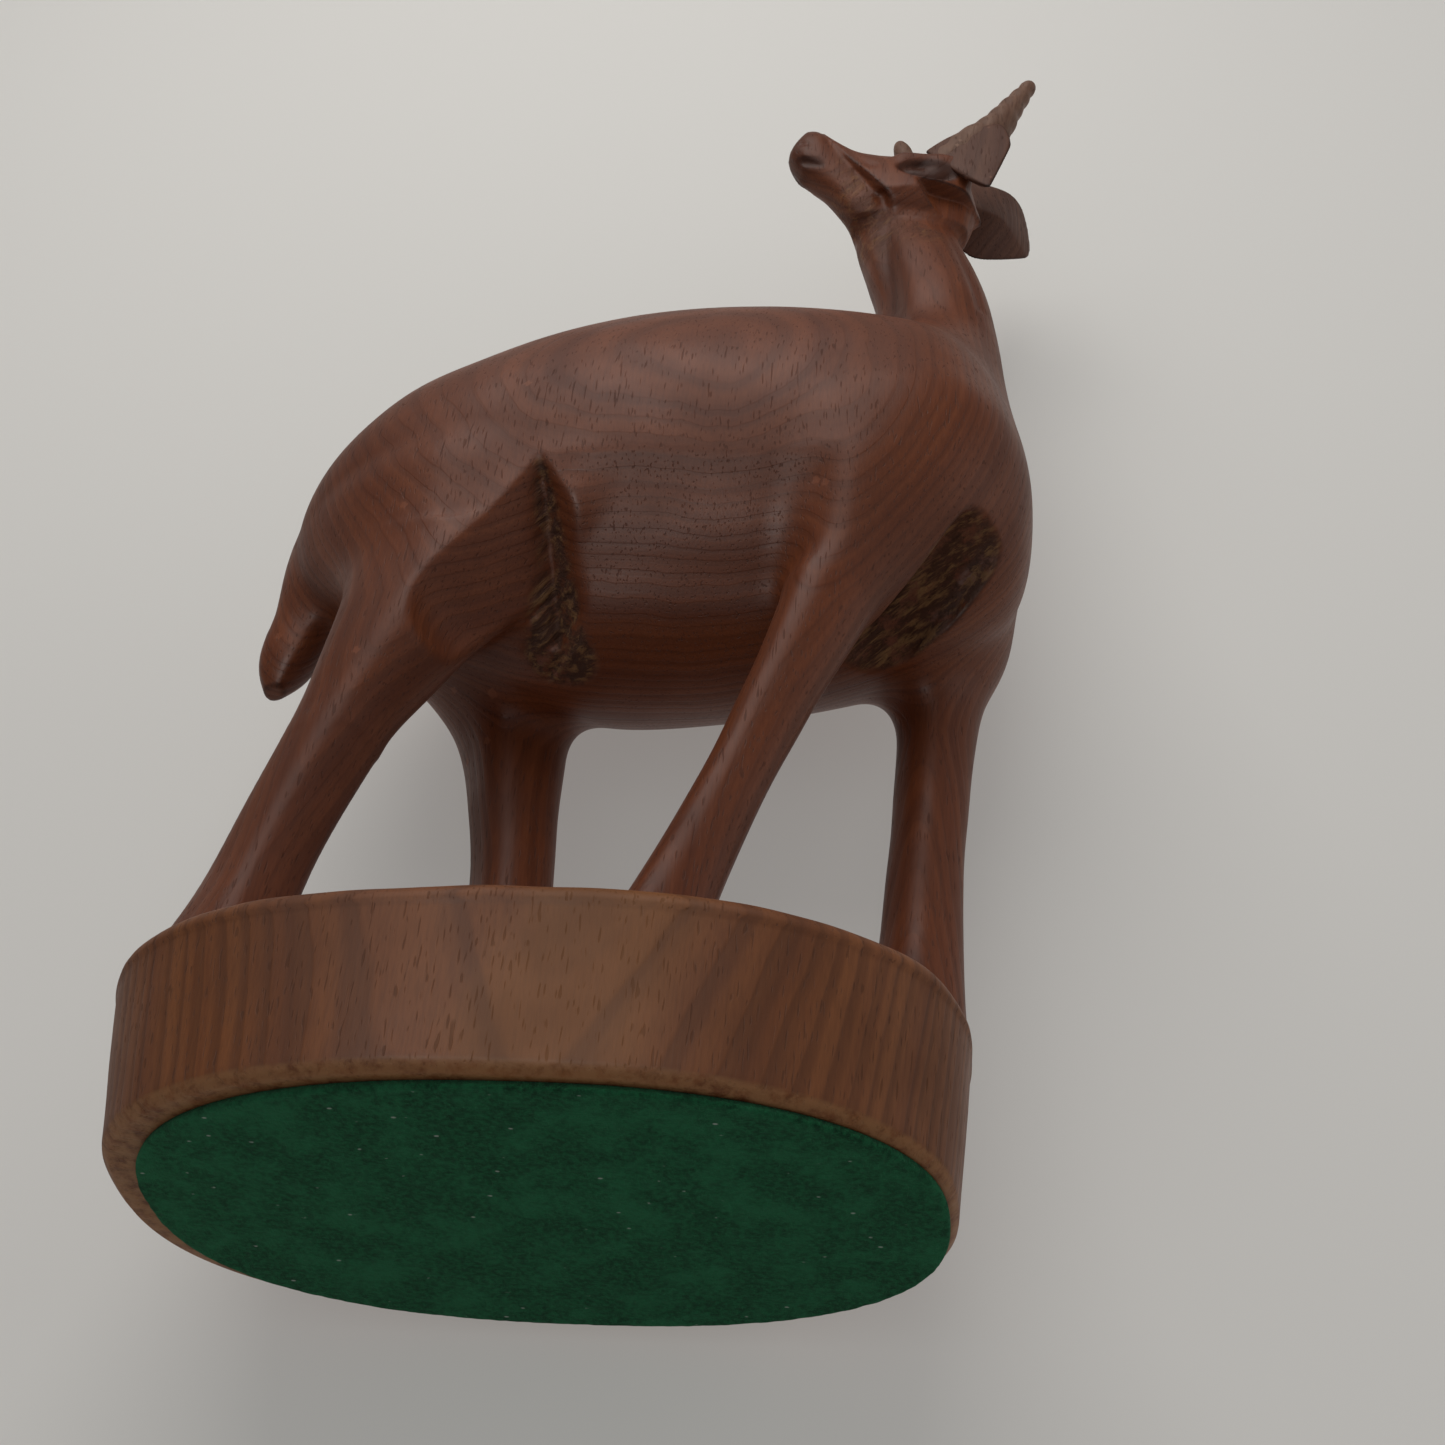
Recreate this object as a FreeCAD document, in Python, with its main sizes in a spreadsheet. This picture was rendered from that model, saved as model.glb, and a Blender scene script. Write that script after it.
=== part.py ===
import FreeCAD, Part
import Sketcher
import math
import os

# Carved wooden antelope looking back over its own body, standing on an oval plinth with a felt pad.
# The animal walks towards +X, its right side is at -Y, and the felt rests on the plane z = 0.
# The origin is the centre of the felt's underside. Lengths are millimetres.

doc = FreeCAD.newDocument("antelope_statue")

# ---------------------------------------------------------------- driving dimensions
DIMENSIONS = (
    # alias, value in mm, what it is
    ("plinth_length", 110.0, "length of the oval plinth at its bottom"),
    ("plinth_width", 68.0, "width of the oval plinth at its bottom"),
    ("plinth_height", 26.0, "thickness of the plinth"),
    ("plinth_end_radius", 29.0, "radius of the plinth's two end arcs"),
    ("plinth_flare", 2.0, "how far the top outline stands out beyond the bottom one"),
    ("plinth_top_round", 1.8, "rounding of the plinth's top edge"),
    ("plinth_bevel", 1.1, "bevel round the plinth's bottom edge"),
    ("felt_thickness", 1.2, "thickness of the felt"),
    ("felt_inset", 1.7, "gap between the felt and the long sides of the plinth"),
    ("felt_end_gap", 2.9, "mean gap between the felt and the two ends of the plinth"),
    ("felt_shift", 1.9, "how far the felt is glued off centre, towards the chest"),
    ("glue_thickness", 0.2, "thickness of the glue film on the felt"),
    ("glue_margin", 0.6, "how far the glue stops short of the felt's edge"),
    ("body_length", 121.0, "rump to chest"),
    ("body_width", 61.0, "widest part of the belly"),
    ("body_depth", 76.0, "deepest part of the belly"),
    ("body_height", 130.0, "centre of the belly above the plinth's underside"),
    ("leg_thickness", 12.0, "thickness of a shin"),
    ("leg_spread", 31.0, "distance between the near and far pairs of legs"),
    ("neck_thickness", 19.0, "thickness of the neck"),
    ("head_length", 33.0, "muzzle to back of the skull"),
    ("head_height", 217.5, "centre of the skull above the plinth's underside"),
    ("head_yaw", 14.0, "turn of the head out of the body's own plane, degrees"),
    ("horn_length", 28.0, "exposed length of the left horn"),
    ("horn_root", 3.4, "radius of a horn at the skull"),
    ("ear_length", 13.0, "exposed length of an ear"),
    ("ear_width", 14.0, "width of an ear blade at its blunt end"),
    ("peg_radius", 1.5, "radius of the pegs of horns and ears"),
    ("peg_length", 5.0, "length of those pegs"),
    ("seat_depth", 1.6, "depth of the seat that the root of a horn or ear sits in"),
    ("tenon_radius", 3.2, "radius of the tenon under each foot"),
    ("tenon_length", 9.0, "length of the tenon under each foot"),
    ("glue_gap", 0.15, "clearance round pegs and tenons, filled with glue"),
)

sheet = doc.addObject("Spreadsheet::Sheet", "dims")
for row, (alias, value, meaning) in enumerate(DIMENSIONS, start=1):
    sheet.set("A%d" % row, meaning)
    sheet.set("B%d" % row, str(value))
    sheet.setAlias("B%d" % row, alias)
doc.recompute()


def size(alias):
    """Value of one driving dimension, for directions and checks that no expression can hold."""
    return float(getattr(sheet, alias))


# Height of the plinth's underside above the table, as an expression.
UNDERSIDE = "(dims.felt_thickness + dims.glue_thickness)"
ZERO = "0 * dims.plinth_length"


# ---------------------------------------------------------------- shared helpers
def place(thing, x, y, z):
    """Bind the three coordinates of a placement to expressions."""
    thing.setExpression("Placement.Base.x", x)
    thing.setExpression("Placement.Base.y", y)
    thing.setExpression("Placement.Base.z", z)


def ring(name, centre, major, minor, normal, major_axis):
    """Ellipse across a limb; centre and radii are expressions, the two axes are vectors."""
    ellipse = doc.addObject("Part::Ellipse", name)
    normal = FreeCAD.Vector(*normal).normalize()
    along = FreeCAD.Vector(*major_axis)
    along = (along - normal * along.dot(normal)).normalize()
    across = normal.cross(along)
    ellipse.Placement.Rotation = FreeCAD.Rotation(along, across, normal, "ZXY")
    ellipse.setExpression("MajorRadius", major)
    ellipse.setExpression("MinorRadius", minor)
    place(ellipse, *centre)
    return ellipse


def loft(name, rings):
    """Closed smooth solid through a row of rings."""
    solid = doc.addObject("Part::Loft", name)
    solid.Sections = rings
    solid.Solid = True
    solid.Ruled = False
    return solid


def cylinder(name, radius, height, start, direction):
    """Cylinder from a start point (expressions) along a direction (vector)."""
    rod = doc.addObject("Part::Cylinder", name)
    rod.Placement.Rotation = FreeCAD.Rotation(FreeCAD.Vector(0, 0, 1), FreeCAD.Vector(*direction))
    rod.setExpression("Radius", radius)
    rod.setExpression("Height", height)
    place(rod, *start)
    return rod


def fuse(name, solids):
    joined = doc.addObject("Part::MultiFuse", name)
    joined.Shapes = solids
    return joined


def origin_plane(body, role):
    return next(plane for plane in body.Origin.OriginFeatures if plane.Role == role)


# ---------------------------------------------------------------- oval plates: plinth, glue, felt
def oval_sketch(body, length, width, end_radius):
    """Four tangent arcs: two end arcs and two flatter side arcs. The sizes are expressions."""
    sketch = body.newObject("Sketcher::SketchObject", body.Name + "_outline")
    sketch.AttachmentSupport = (origin_plane(body, "XY_Plane"), "")
    sketch.MapMode = "FlatFace"
    half_length = size("plinth_length") / 2
    half_width = size("plinth_width") / 2
    end = size("plinth_end_radius")
    side = (half_length**2 + half_width**2 - 2 * half_length * end) / (2 * (half_width - end))
    end_centre = half_length - end
    side_centre = side - half_width
    turn = math.atan2(side_centre, end_centre)
    up = FreeCAD.Vector(0, 0, 1)
    arcs = (
        (FreeCAD.Vector(end_centre, 0, 0), end, -turn, turn),
        (FreeCAD.Vector(0, -side_centre, 0), side, turn, math.pi - turn),
        (FreeCAD.Vector(-end_centre, 0, 0), end, math.pi - turn, math.pi + turn),
        (FreeCAD.Vector(0, side_centre, 0), side, math.pi + turn, 2 * math.pi - turn),
    )
    for centre, radius, first, last in arcs:
        sketch.addGeometry(Part.ArcOfCircle(Part.Circle(centre, up, radius), first, last), False)
    start, finish, middle = 1, 2, 3
    origin, x_axis, y_axis = -1, -1, -2
    for arc in range(3):
        sketch.addConstraint(Sketcher.Constraint("Tangent", arc, finish, arc + 1, start))
    sketch.addConstraint(Sketcher.Constraint("Coincident", 3, finish, 0, start))
    for arc, axis in ((0, x_axis), (1, y_axis), (2, x_axis)):
        sketch.addConstraint(Sketcher.Constraint("PointOnObject", arc, middle, axis))
    sketch.addConstraint(Sketcher.Constraint("Equal", 0, 2))
    sketch.addConstraint(Sketcher.Constraint("Equal", 1, 3))
    end_rule = sketch.addConstraint(Sketcher.Constraint("Radius", 0, end))
    sketch.setExpression("Constraints[%d]" % end_rule, end_radius)
    length_rule = sketch.addConstraint(Sketcher.Constraint("DistanceX", origin, start, 0, middle, end_centre))
    sketch.setExpression("Constraints[%d]" % length_rule, "(%s) / 2 - (%s)" % (length, end_radius))
    width_rule = sketch.addConstraint(
        Sketcher.Constraint("DistanceY", 1, middle, origin, start, side_centre)
    )
    half = "((%s) / 2)" % length
    broad = "((%s) / 2)" % width
    radius_of_end = "(%s)" % end_radius
    radius_of_side = "((%s * %s + %s * %s - 2 * %s * %s) / (2 * (%s - %s)))" % (
        half, half, broad, broad, half, radius_of_end, broad, radius_of_end)
    sketch.setExpression("Constraints[%d]" % width_rule, "%s - %s" % (radius_of_side, broad))
    return sketch


def oval_plate(name, length, width, end_radius, thickness, base_height):
    """Body with one padded oval, its underside at base_height."""
    body = doc.addObject("PartDesign::Body", name)
    body.Label = name
    outline = oval_sketch(body, length, width, end_radius)
    pad = body.newObject("PartDesign::Pad", name + "_pad")
    pad.Profile = outline
    pad.setExpression("Length", thickness)
    body.Tip = pad
    place(body, ZERO, ZERO, base_height)
    return body, pad


def felt_oval(name, margin, thickness, base_height):
    """Plate with the felt's outline, drawn in by a margin all round and set off centre."""
    length = "(dims.plinth_length - 2 * (dims.felt_end_gap + %s))" % margin
    width = "(dims.plinth_width - 2 * (dims.felt_inset + %s))" % margin
    end = "(dims.plinth_end_radius - dims.felt_inset - %s)" % margin
    plate = oval_plate(name, length, width, end, thickness, base_height)[0]
    plate.setExpression("Placement.Base.x", "dims.felt_shift")
    return plate


felt_pad = felt_oval("felt_pad", ZERO, "dims.felt_thickness", ZERO)
adhesive_film = felt_oval(
    "adhesive_film", "dims.glue_margin", "dims.glue_thickness", "dims.felt_thickness")

# ---------------------------------------------------------------- legs: where the feet stand
# Each leg is a row of level rings from the sole up into the body. A ring is written as
# (x, y, height, half-thickness along x, half-thickness along y), where x is in half plinth
# lengths from the centre, y in half leg spreads, height in belly heights above the underside,
# and the half-thicknesses in leg thicknesses.
SOLE = size("plinth_height") / size("body_height")
LEGS = {
    "right_hind": (
        (-0.80, -0.98, SOLE, 0.64, 0.60), (-0.77, -0.98, 0.26, 0.54, 0.52),
        (-0.68, -1.02, 0.44, 0.53, 0.50), (-0.58, -1.08, 0.57, 0.68, 0.60),
        (-0.47, -1.06, 0.72, 1.00, 0.86), (-0.45, -0.92, 0.92, 1.50, 1.10),
    ),
    "left_hind": (
        (-0.20, 0.98, SOLE, 0.60, 0.58), (-0.23, 0.98, 0.38, 0.50, 0.48),
        (-0.28, 1.02, 0.58, 0.54, 0.50), (-0.33, 1.06, 0.70, 0.74, 0.62),
        (-0.42, 1.00, 0.83, 1.05, 0.90), (-0.45, 0.90, 0.95, 1.30, 1.05),
    ),
    "right_fore": (
        (0.24, -0.98, SOLE, 0.56, 0.54), (0.31, -0.98, 0.30, 0.47, 0.44),
        (0.45, -1.02, 0.47, 0.43, 0.42), (0.58, -1.08, 0.62, 0.48, 0.46),
        (0.70, -1.08, 0.76, 0.64, 0.56), (0.80, -0.98, 0.90, 0.95, 0.80),
    ),
    "left_fore": (
        (0.90, 0.46, SOLE, 0.64, 0.58), (0.90, 0.52, 0.34, 0.50, 0.48),
        (0.92, 0.66, 0.55, 0.45, 0.44), (0.94, 0.86, 0.74, 0.54, 0.50),
        (0.95, 0.96, 0.87, 0.76, 0.66), (0.95, 0.90, 0.98, 0.98, 0.80),
    ),
}


def leg_point(x, y, level):
    return (
        "%.3f * dims.plinth_length / 2" % x,
        "%.3f * dims.leg_spread / 2" % y,
        "%s + %.4f * dims.body_height" % (UNDERSIDE, level),
    )


def make_leg(leg, stations):
    """Loft from the sole to the hip or shoulder, with a round tenon under the sole."""
    rings = []
    for number, (x, y, level, fore_aft, sideways) in enumerate(stations):
        rings.append(ring(
            "%s_ring_%d" % (leg, number), leg_point(x, y, level),
            "%.2f * dims.leg_thickness" % fore_aft, "%.2f * dims.leg_thickness" % sideways,
            (0, 0, 1), (1, 0, 0)))
    foot_x, foot_y, foot_z = leg_point(*stations[0][:3])
    overlap = 1.0
    tenon = cylinder(
        leg + "_tenon", "dims.tenon_radius", "dims.tenon_length + %.1f" % overlap,
        (foot_x, foot_y, foot_z + " - dims.tenon_length"), (0, 0, 1))
    return [loft(leg + "_leg", rings), tenon]


# ---------------------------------------------------------------- plinth
plinth, plinth_pad = oval_plate(
    "plinth", "dims.plinth_length", "dims.plinth_width", "dims.plinth_end_radius",
    "dims.plinth_height", UNDERSIDE)
plinth_pad.setExpression("TaperAngle", "atan(dims.plinth_flare / dims.plinth_height)")
doc.recompute()


def level_edges(solid, height):
    """Names of the edges that lie in one level plane of a solid."""
    names = []
    for number, edge in enumerate(solid.Edges, start=1):
        box = edge.BoundBox
        if box.ZLength < 1e-4 and abs(box.ZMin - height) < 1e-4:
            names.append("Edge%d" % number)
    return names


top_round = plinth.newObject("PartDesign::Fillet", "plinth_top_round")
top_round.Base = (plinth_pad, level_edges(plinth_pad.Shape, size("plinth_height")))
top_round.setExpression("Radius", "dims.plinth_top_round")
doc.recompute()
bevel = plinth.newObject("PartDesign::Chamfer", "plinth_bevel")
bevel.Base = (top_round, level_edges(top_round.Shape, 0.0))
bevel.setExpression("Size", "dims.plinth_bevel")
doc.recompute()
volume_before_mortises = bevel.Shape.Volume

mortise_sketch = plinth.newObject("Sketcher::SketchObject", "mortise_circles")
mortise_sketch.AttachmentSupport = (origin_plane(plinth, "XY_Plane"), "")
mortise_sketch.MapMode = "FlatFace"
mortise_sketch.setExpression("AttachmentOffset.Base.z", "dims.plinth_height")
for number, stations in enumerate(LEGS.values()):
    foot = FreeCAD.Vector(
        stations[0][0] * size("plinth_length") / 2, stations[0][1] * size("leg_spread") / 2, 0)
    circle = Part.Circle(foot, FreeCAD.Vector(0, 0, 1), size("tenon_radius"))
    mortise_sketch.addGeometry(circle, False)
    rule = mortise_sketch.addConstraint(
        Sketcher.Constraint("Radius", number, size("tenon_radius") + size("glue_gap")))
    mortise_sketch.setExpression("Constraints[%d]" % rule, "dims.tenon_radius + dims.glue_gap")
    for kind, value, expression in (
            ("DistanceX", foot.x, "%.3f * dims.plinth_length / 2" % stations[0][0]),
            ("DistanceY", foot.y, "%.3f * dims.leg_spread / 2" % stations[0][1])):
        rule = mortise_sketch.addConstraint(Sketcher.Constraint(kind, -1, 1, number, 3, value))
        mortise_sketch.setExpression("Constraints[%d]" % rule, expression)
mortises = plinth.newObject("PartDesign::Pocket", "mortises")
mortises.Profile = mortise_sketch
mortises.setExpression("Length", "dims.tenon_length + dims.glue_gap")
plinth.Tip = mortises
doc.recompute()
mortise_radius = size("tenon_radius") + size("glue_gap")
mortise_depth = size("tenon_length") + size("glue_gap")
drilled = len(LEGS) * math.pi * mortise_radius**2 * mortise_depth
assert abs(volume_before_mortises - mortises.Shape.Volume - drilled) < 0.02 * drilled

# ---------------------------------------------------------------- torso, neck, tail
# Torso rings stand across the body. A ring is (x, height of its centre, half-width, half-depth):
# x in body lengths from the belly's middle, the height in belly heights, the two radii in half
# body widths and half body depths.
TORSO = (
    (-0.505, 0.930, 0.16, 0.19), (-0.478, 0.935, 0.42, 0.40), (-0.39, 0.965, 0.73, 0.67),
    (-0.25, 0.985, 0.91, 0.85), (-0.045, 0.995, 1.00, 1.00), (0.137, 1.005, 0.99, 0.985),
    (0.296, 1.005, 0.94, 0.92), (0.40, 0.998, 0.83, 0.83), (0.462, 0.985, 0.62, 0.63),
    (0.494, 0.975, 0.34, 0.36),
)
BELLY_X = 0.10


def make_torso():
    rings = []
    for number, (x, level, half_width, half_depth) in enumerate(TORSO):
        centre = (
            "%.3f * dims.plinth_length / 2 + %.3f * dims.body_length" % (BELLY_X, x),
            ZERO,
            "%s + %.3f * dims.body_height" % (UNDERSIDE, level),
        )
        rings.append(ring(
            "torso_ring_%d" % number, centre,
            "%.3f * dims.body_depth / 2" % half_depth, "%.3f * dims.body_width / 2" % half_width,
            (1, 0, 0), (0, 0, 1)))
    return loft("torso", rings)


# Neck and tail rings are level: (x, y, height, half-thickness along x, half-thickness along y),
# x and y in half plinth lengths, the height in head heights, radii in half neck thicknesses.
NECK = (
    (0.84, 0.03, 0.640, 1.50, 1.45), (0.90, 0.03, 0.725, 1.42, 1.40), (0.95, 0.03, 0.785, 1.24, 1.20),
    (0.94, 0.02, 0.832, 1.12, 1.04), (0.87, 0.02, 0.893, 1.04, 0.96), (0.80, 0.02, 0.950, 1.00, 0.92),
    (0.79, 0.02, 0.980, 0.86, 0.76),
)
TAIL = (
    (-0.88, 0.00, 0.575, 0.62, 0.60), (-0.93, -0.01, 0.535, 0.62, 0.58),
    (-0.95, -0.01, 0.475, 0.52, 0.50), (-0.98, 0.00, 0.415, 0.24, 0.24),
)


def level_limb(name, stations):
    rings = []
    for number, (x, y, level, fore_aft, sideways) in enumerate(stations):
        centre = (
            "%.3f * dims.plinth_length / 2" % x,
            "%.3f * dims.plinth_length / 2" % y,
            "%s + %.3f * dims.head_height" % (UNDERSIDE, level),
        )
        rings.append(ring(
            "%s_ring_%d" % (name, number), centre,
            "%.3f * dims.neck_thickness / 2" % fore_aft, "%.3f * dims.neck_thickness / 2" % sideways,
            (0, 0, 1), (1, 0, 0)))
    return loft(name, rings)


# ---------------------------------------------------------------- head
# The head points back along the body and is turned a little out of its plane. A point of the
# head is (forward, left, up) in head lengths from the centre of the skull.
YAW = math.radians(size("head_yaw"))
FORWARD = FreeCAD.Vector(-math.cos(YAW), -math.sin(YAW), 0)
LEFT = FreeCAD.Vector(math.sin(YAW), -math.cos(YAW), 0)
UP = FreeCAD.Vector(0, 0, 1)
SKULL_X = 0.86


def head_direction(forward, left, up):
    return FORWARD * forward + LEFT * left + UP * up


def head_point(forward, left, up):
    """Expressions for a point given in head lengths from the centre of the skull."""
    offset = head_direction(forward, left, up)
    return (
        "%.3f * dims.plinth_length / 2 + %.4f * dims.head_length" % (SKULL_X, offset.x),
        "%.4f * dims.head_length" % offset.y,
        "%s + dims.head_height + %.4f * dims.head_length" % (UNDERSIDE, offset.z),
    )


# Head rings stand across the head: (forward, up, half-height, half-width) in head lengths.
HEAD = (
    (-0.24, 0.00, 0.16, 0.14), (-0.15, 0.00, 0.27, 0.24), (0.02, 0.00, 0.32, 0.28),
    (0.25, 0.00, 0.29, 0.245), (0.47, 0.05, 0.22, 0.18), (0.64, 0.12, 0.205, 0.165),
    (0.76, 0.15, 0.12, 0.11),
)


def make_head():
    rings = []
    for number, (forward, up, half_height, half_width) in enumerate(HEAD):
        rings.append(ring(
            "head_ring_%d" % number, head_point(forward, 0, up),
            "%.3f * dims.head_length" % half_height, "%.3f * dims.head_length" % half_width,
            tuple(FORWARD), (0, 0, 1)))
    return loft("head", rings)


# ---------------------------------------------------------------- horns and ears
# Each is its own peg, seat and blade or horn, made along its own z axis from the skull outwards
# and then placed: (root point, direction), both in the head's (forward, left, up).
ROOTS = {
    "left_horn": ((-0.04, 0.13, 0.26), (-0.58, 0.17, 0.80)),
    "right_horn": ((0.02, -0.13, 0.26), (0.20, -0.06, 0.97)),
    "left_ear": ((-0.15, 0.21, 0.04), (-0.82, 0.56, -0.02)),
    "right_ear": ((-0.15, -0.20, 0.06), (-0.93, -0.33, 0.20)),
}


def put_on_head(thing, name):
    """Move a horn or an ear from its own frame to its root on the skull."""
    root, direction = ROOTS[name]
    outward = head_direction(*direction).normalize()
    blade = (UP - outward * UP.dot(outward)).normalize()
    thing.Placement.Rotation = FreeCAD.Rotation(blade, outward.cross(blade), outward, "ZXY")
    place(thing, *head_point(*root))


def own_frame_ring(name, level, major, minor):
    """Ring across the local z axis."""
    return ring(name, (ZERO, ZERO, level), major, minor, (0, 0, 1), (1, 0, 0))


def start_value(text):
    """Value of an expression that is a product of numbers and driving dimensions, with an optional minus."""
    value = -1.0 if text.startswith("-") else 1.0
    for factor in text.lstrip("-").split(" * "):
        value *= size(factor[len("dims."):]) if factor.startswith("dims.") else float(factor)
    return value


def make_horn(name, length_share):
    """Turned horn: peg, seat, three shallow swellings and a round tip, as one revolution."""
    body = doc.addObject("PartDesign::Body", name)
    body.Label = name
    sketch = body.newObject("Sketcher::SketchObject", name + "_profile")
    sketch.AttachmentSupport = (origin_plane(body, "XZ_Plane"), "")
    sketch.MapMode = "FlatFace"
    seat = "dims.horn_root"
    long = "dims.horn_length * %.2f" % length_share
    # (radius, height) of each corner of the half profile
    corners = (
        (ZERO, "-dims.peg_length"),
        ("dims.peg_radius", "-dims.peg_length"),
        ("dims.peg_radius", "-dims.seat_depth"),
        (seat, "-dims.seat_depth"),
        (seat, "%s * 0.10" % long),
        (seat + " * 0.80", "%s * 0.32" % long),
        (seat + " * 0.82", "%s * 0.42" % long),
        (seat + " * 0.60", "%s * 0.62" % long),
        (seat + " * 0.62", "%s * 0.70" % long),
        (seat + " * 0.42", "%s * 0.92" % long),
        (seat + " * 0.25", long),
        (ZERO, long),
    )
    points = [FreeCAD.Vector(start_value(radius), start_value(height), 0) for radius, height in corners]
    count = len(points)
    for number in range(count):
        sketch.addGeometry(Part.LineSegment(points[number], points[(number + 1) % count]), False)
    for number in range(count):
        sketch.addConstraint(Sketcher.Constraint("Coincident", number, 2, (number + 1) % count, 1))
    for number, (radius, height) in enumerate(corners):
        for kind, text in (("DistanceX", radius), ("DistanceY", height)):
            rule = sketch.addConstraint(Sketcher.Constraint(kind, -1, 1, number, 1, start_value(text)))
            sketch.setExpression("Constraints[%d]" % rule, text)
    turning = body.newObject("PartDesign::Revolution", name + "_turning")
    turning.Profile = sketch
    turning.ReferenceAxis = (sketch, ["V_Axis"])
    turning.Angle = 360
    body.Tip = turning
    put_on_head(body, name)
    return body


# Radius of the round root of an ear, as an expression
EAR_ROOT = "dims.horn_root * 0.92"


def make_ear(name, length_share):
    """Blade that widens from a round root to a blunt end, on a round peg."""
    root = EAR_ROOT
    long = "dims.ear_length * %.2f" % length_share
    thin = "dims.horn_root * 0.70"
    wide = "dims.ear_width / 2"
    rings = [
        own_frame_ring(name + "_ring_0", "-dims.seat_depth", root, root),
        own_frame_ring(name + "_ring_1", long + " * 0.12", root, "dims.horn_root * 0.85"),
        own_frame_ring(name + "_ring_2", long + " * 0.55", wide + " * 0.86", thin),
        own_frame_ring(name + "_ring_3", long, wide, thin),
    ]
    peg = cylinder(
        name + "_peg", "dims.peg_radius", "dims.peg_length - dims.seat_depth * 0.5",
        (ZERO, ZERO, "-dims.peg_length"), (0, 0, 1))
    ear = fuse(name, [loft(name + "_blade", rings), peg])
    ear.Label = name
    put_on_head(ear, name)
    return ear


def make_socket(name):
    """Cutter for the seat and the peg hole of a horn or an ear, with the glue gap all round."""
    root = "dims.horn_root" if name.endswith("horn") else EAR_ROOT
    reach = 12.0
    seat = cylinder(
        name + "_seat", root + " + dims.glue_gap", "%.1f * dims.seat_depth" % reach,
        (ZERO, ZERO, "-dims.seat_depth - dims.glue_gap"), (0, 0, 1))
    hole = cylinder(
        name + "_hole", "dims.peg_radius + dims.glue_gap", "dims.peg_length",
        (ZERO, ZERO, "-dims.peg_length - dims.glue_gap"), (0, 0, 1))
    socket = fuse(name + "_socket", [seat, hole])
    put_on_head(socket, name)
    return socket


left_horn = make_horn("left_horn", 1.0)
right_horn = make_horn("right_horn", 0.85)
left_ear = make_ear("left_ear", 1.0)
right_ear = make_ear("right_ear", 1.3)

# ---------------------------------------------------------------- figure: one carved block
block = [make_torso(), level_limb("neck", NECK), level_limb("tail", TAIL), make_head()]
for leg, stations in LEGS.items():
    block += make_leg(leg, stations)
carving = fuse("carving", block)
sockets = fuse("sockets", [make_socket(name) for name in ROOTS])
figure = doc.addObject("Part::Cut", "figure")
figure.Base = carving
figure.Tool = sockets
figure.Label = "figure"
doc.recompute()

# ---------------------------------------------------------------- checks and files
for thing in doc.Objects:
    assert "Invalid" not in thing.State and "Error" not in thing.State, (thing.Name, thing.State)

SUBPARTS = (
    figure, plinth, left_horn, right_horn, left_ear, right_ear, adhesive_film, felt_pad,
)
os.makedirs("parts", exist_ok=True)
for piece in SUBPARTS:
    shape = piece.Shape
    assert not shape.isNull() and shape.isValid(), piece.Label
    assert len(shape.Solids) == 1, (piece.Label, len(shape.Solids))
for piece in SUBPARTS:
    piece.Shape.exportStep("parts/%s.step" % piece.Label)
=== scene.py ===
import itertools
import math

import bmesh
import bpy
import numpy as np
import openvdb
from mathutils import Matrix, Vector, noise


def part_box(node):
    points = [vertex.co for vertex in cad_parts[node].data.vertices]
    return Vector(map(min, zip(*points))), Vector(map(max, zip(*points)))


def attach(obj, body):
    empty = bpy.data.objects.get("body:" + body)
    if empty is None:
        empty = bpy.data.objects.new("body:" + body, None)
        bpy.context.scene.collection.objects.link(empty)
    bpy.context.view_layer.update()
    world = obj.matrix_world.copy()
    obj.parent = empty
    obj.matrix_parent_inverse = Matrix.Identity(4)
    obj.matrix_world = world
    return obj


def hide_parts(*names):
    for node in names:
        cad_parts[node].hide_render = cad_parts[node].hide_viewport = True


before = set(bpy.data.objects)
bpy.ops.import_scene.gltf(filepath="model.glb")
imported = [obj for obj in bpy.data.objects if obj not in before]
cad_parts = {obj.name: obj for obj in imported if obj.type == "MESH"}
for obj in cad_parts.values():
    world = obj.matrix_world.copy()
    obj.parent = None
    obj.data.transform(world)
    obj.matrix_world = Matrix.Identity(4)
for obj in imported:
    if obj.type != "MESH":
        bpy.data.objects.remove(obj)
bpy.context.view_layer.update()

# ------------------------------------------------------------------ sizes taken from the frame
MM = 0.001
plinth_low, plinth_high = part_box("plinth")
felt_low, felt_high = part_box("felt_pad")
UNDERSIDE = plinth_low.z                      # wood starts here, above the felt and the glue
DECK = plinth_high.z                          # top of the plinth, where the feet stand
FLARE = 2 * MM                                # the plinth's top stands out this far all round
EDGE_LOSS = 0.15 * MM                         # what the rounded top edge takes off the plinth's box
HALF = (plinth_high.x - plinth_low.x) / 2 - FLARE + EDGE_LOSS   # half length of the plinth's bottom
SIDE_SWELL = 0.6 * MM                         # the plinth's sides are a little fuller than the CAD's
HALF_WIDE = (plinth_high.y - plinth_low.y) / 2 - FLARE + SIDE_SWELL
VOXEL = 0.5 * MM
FINE = 0.26 * MM                              # grid of the ears and horns
FAR = 50 * MM                                 # distance that an empty grid starts with


def at(x, y, z):
    """Point given in half plinth lengths, the height counted from the wood's underside."""
    return np.array([x * HALF, y * HALF, UNDERSIDE + z * HALF])


# ------------------------------------------------------------------ distance fields on a grid
def smooth_step(low, high, value):
    """0 at low, 1 at high, a smooth ramp between; low may be the larger of the two."""
    t = np.clip((value - low) / (high - low), 0.0, 1.0)
    return t * t * (3.0 - 2.0 * t)


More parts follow.
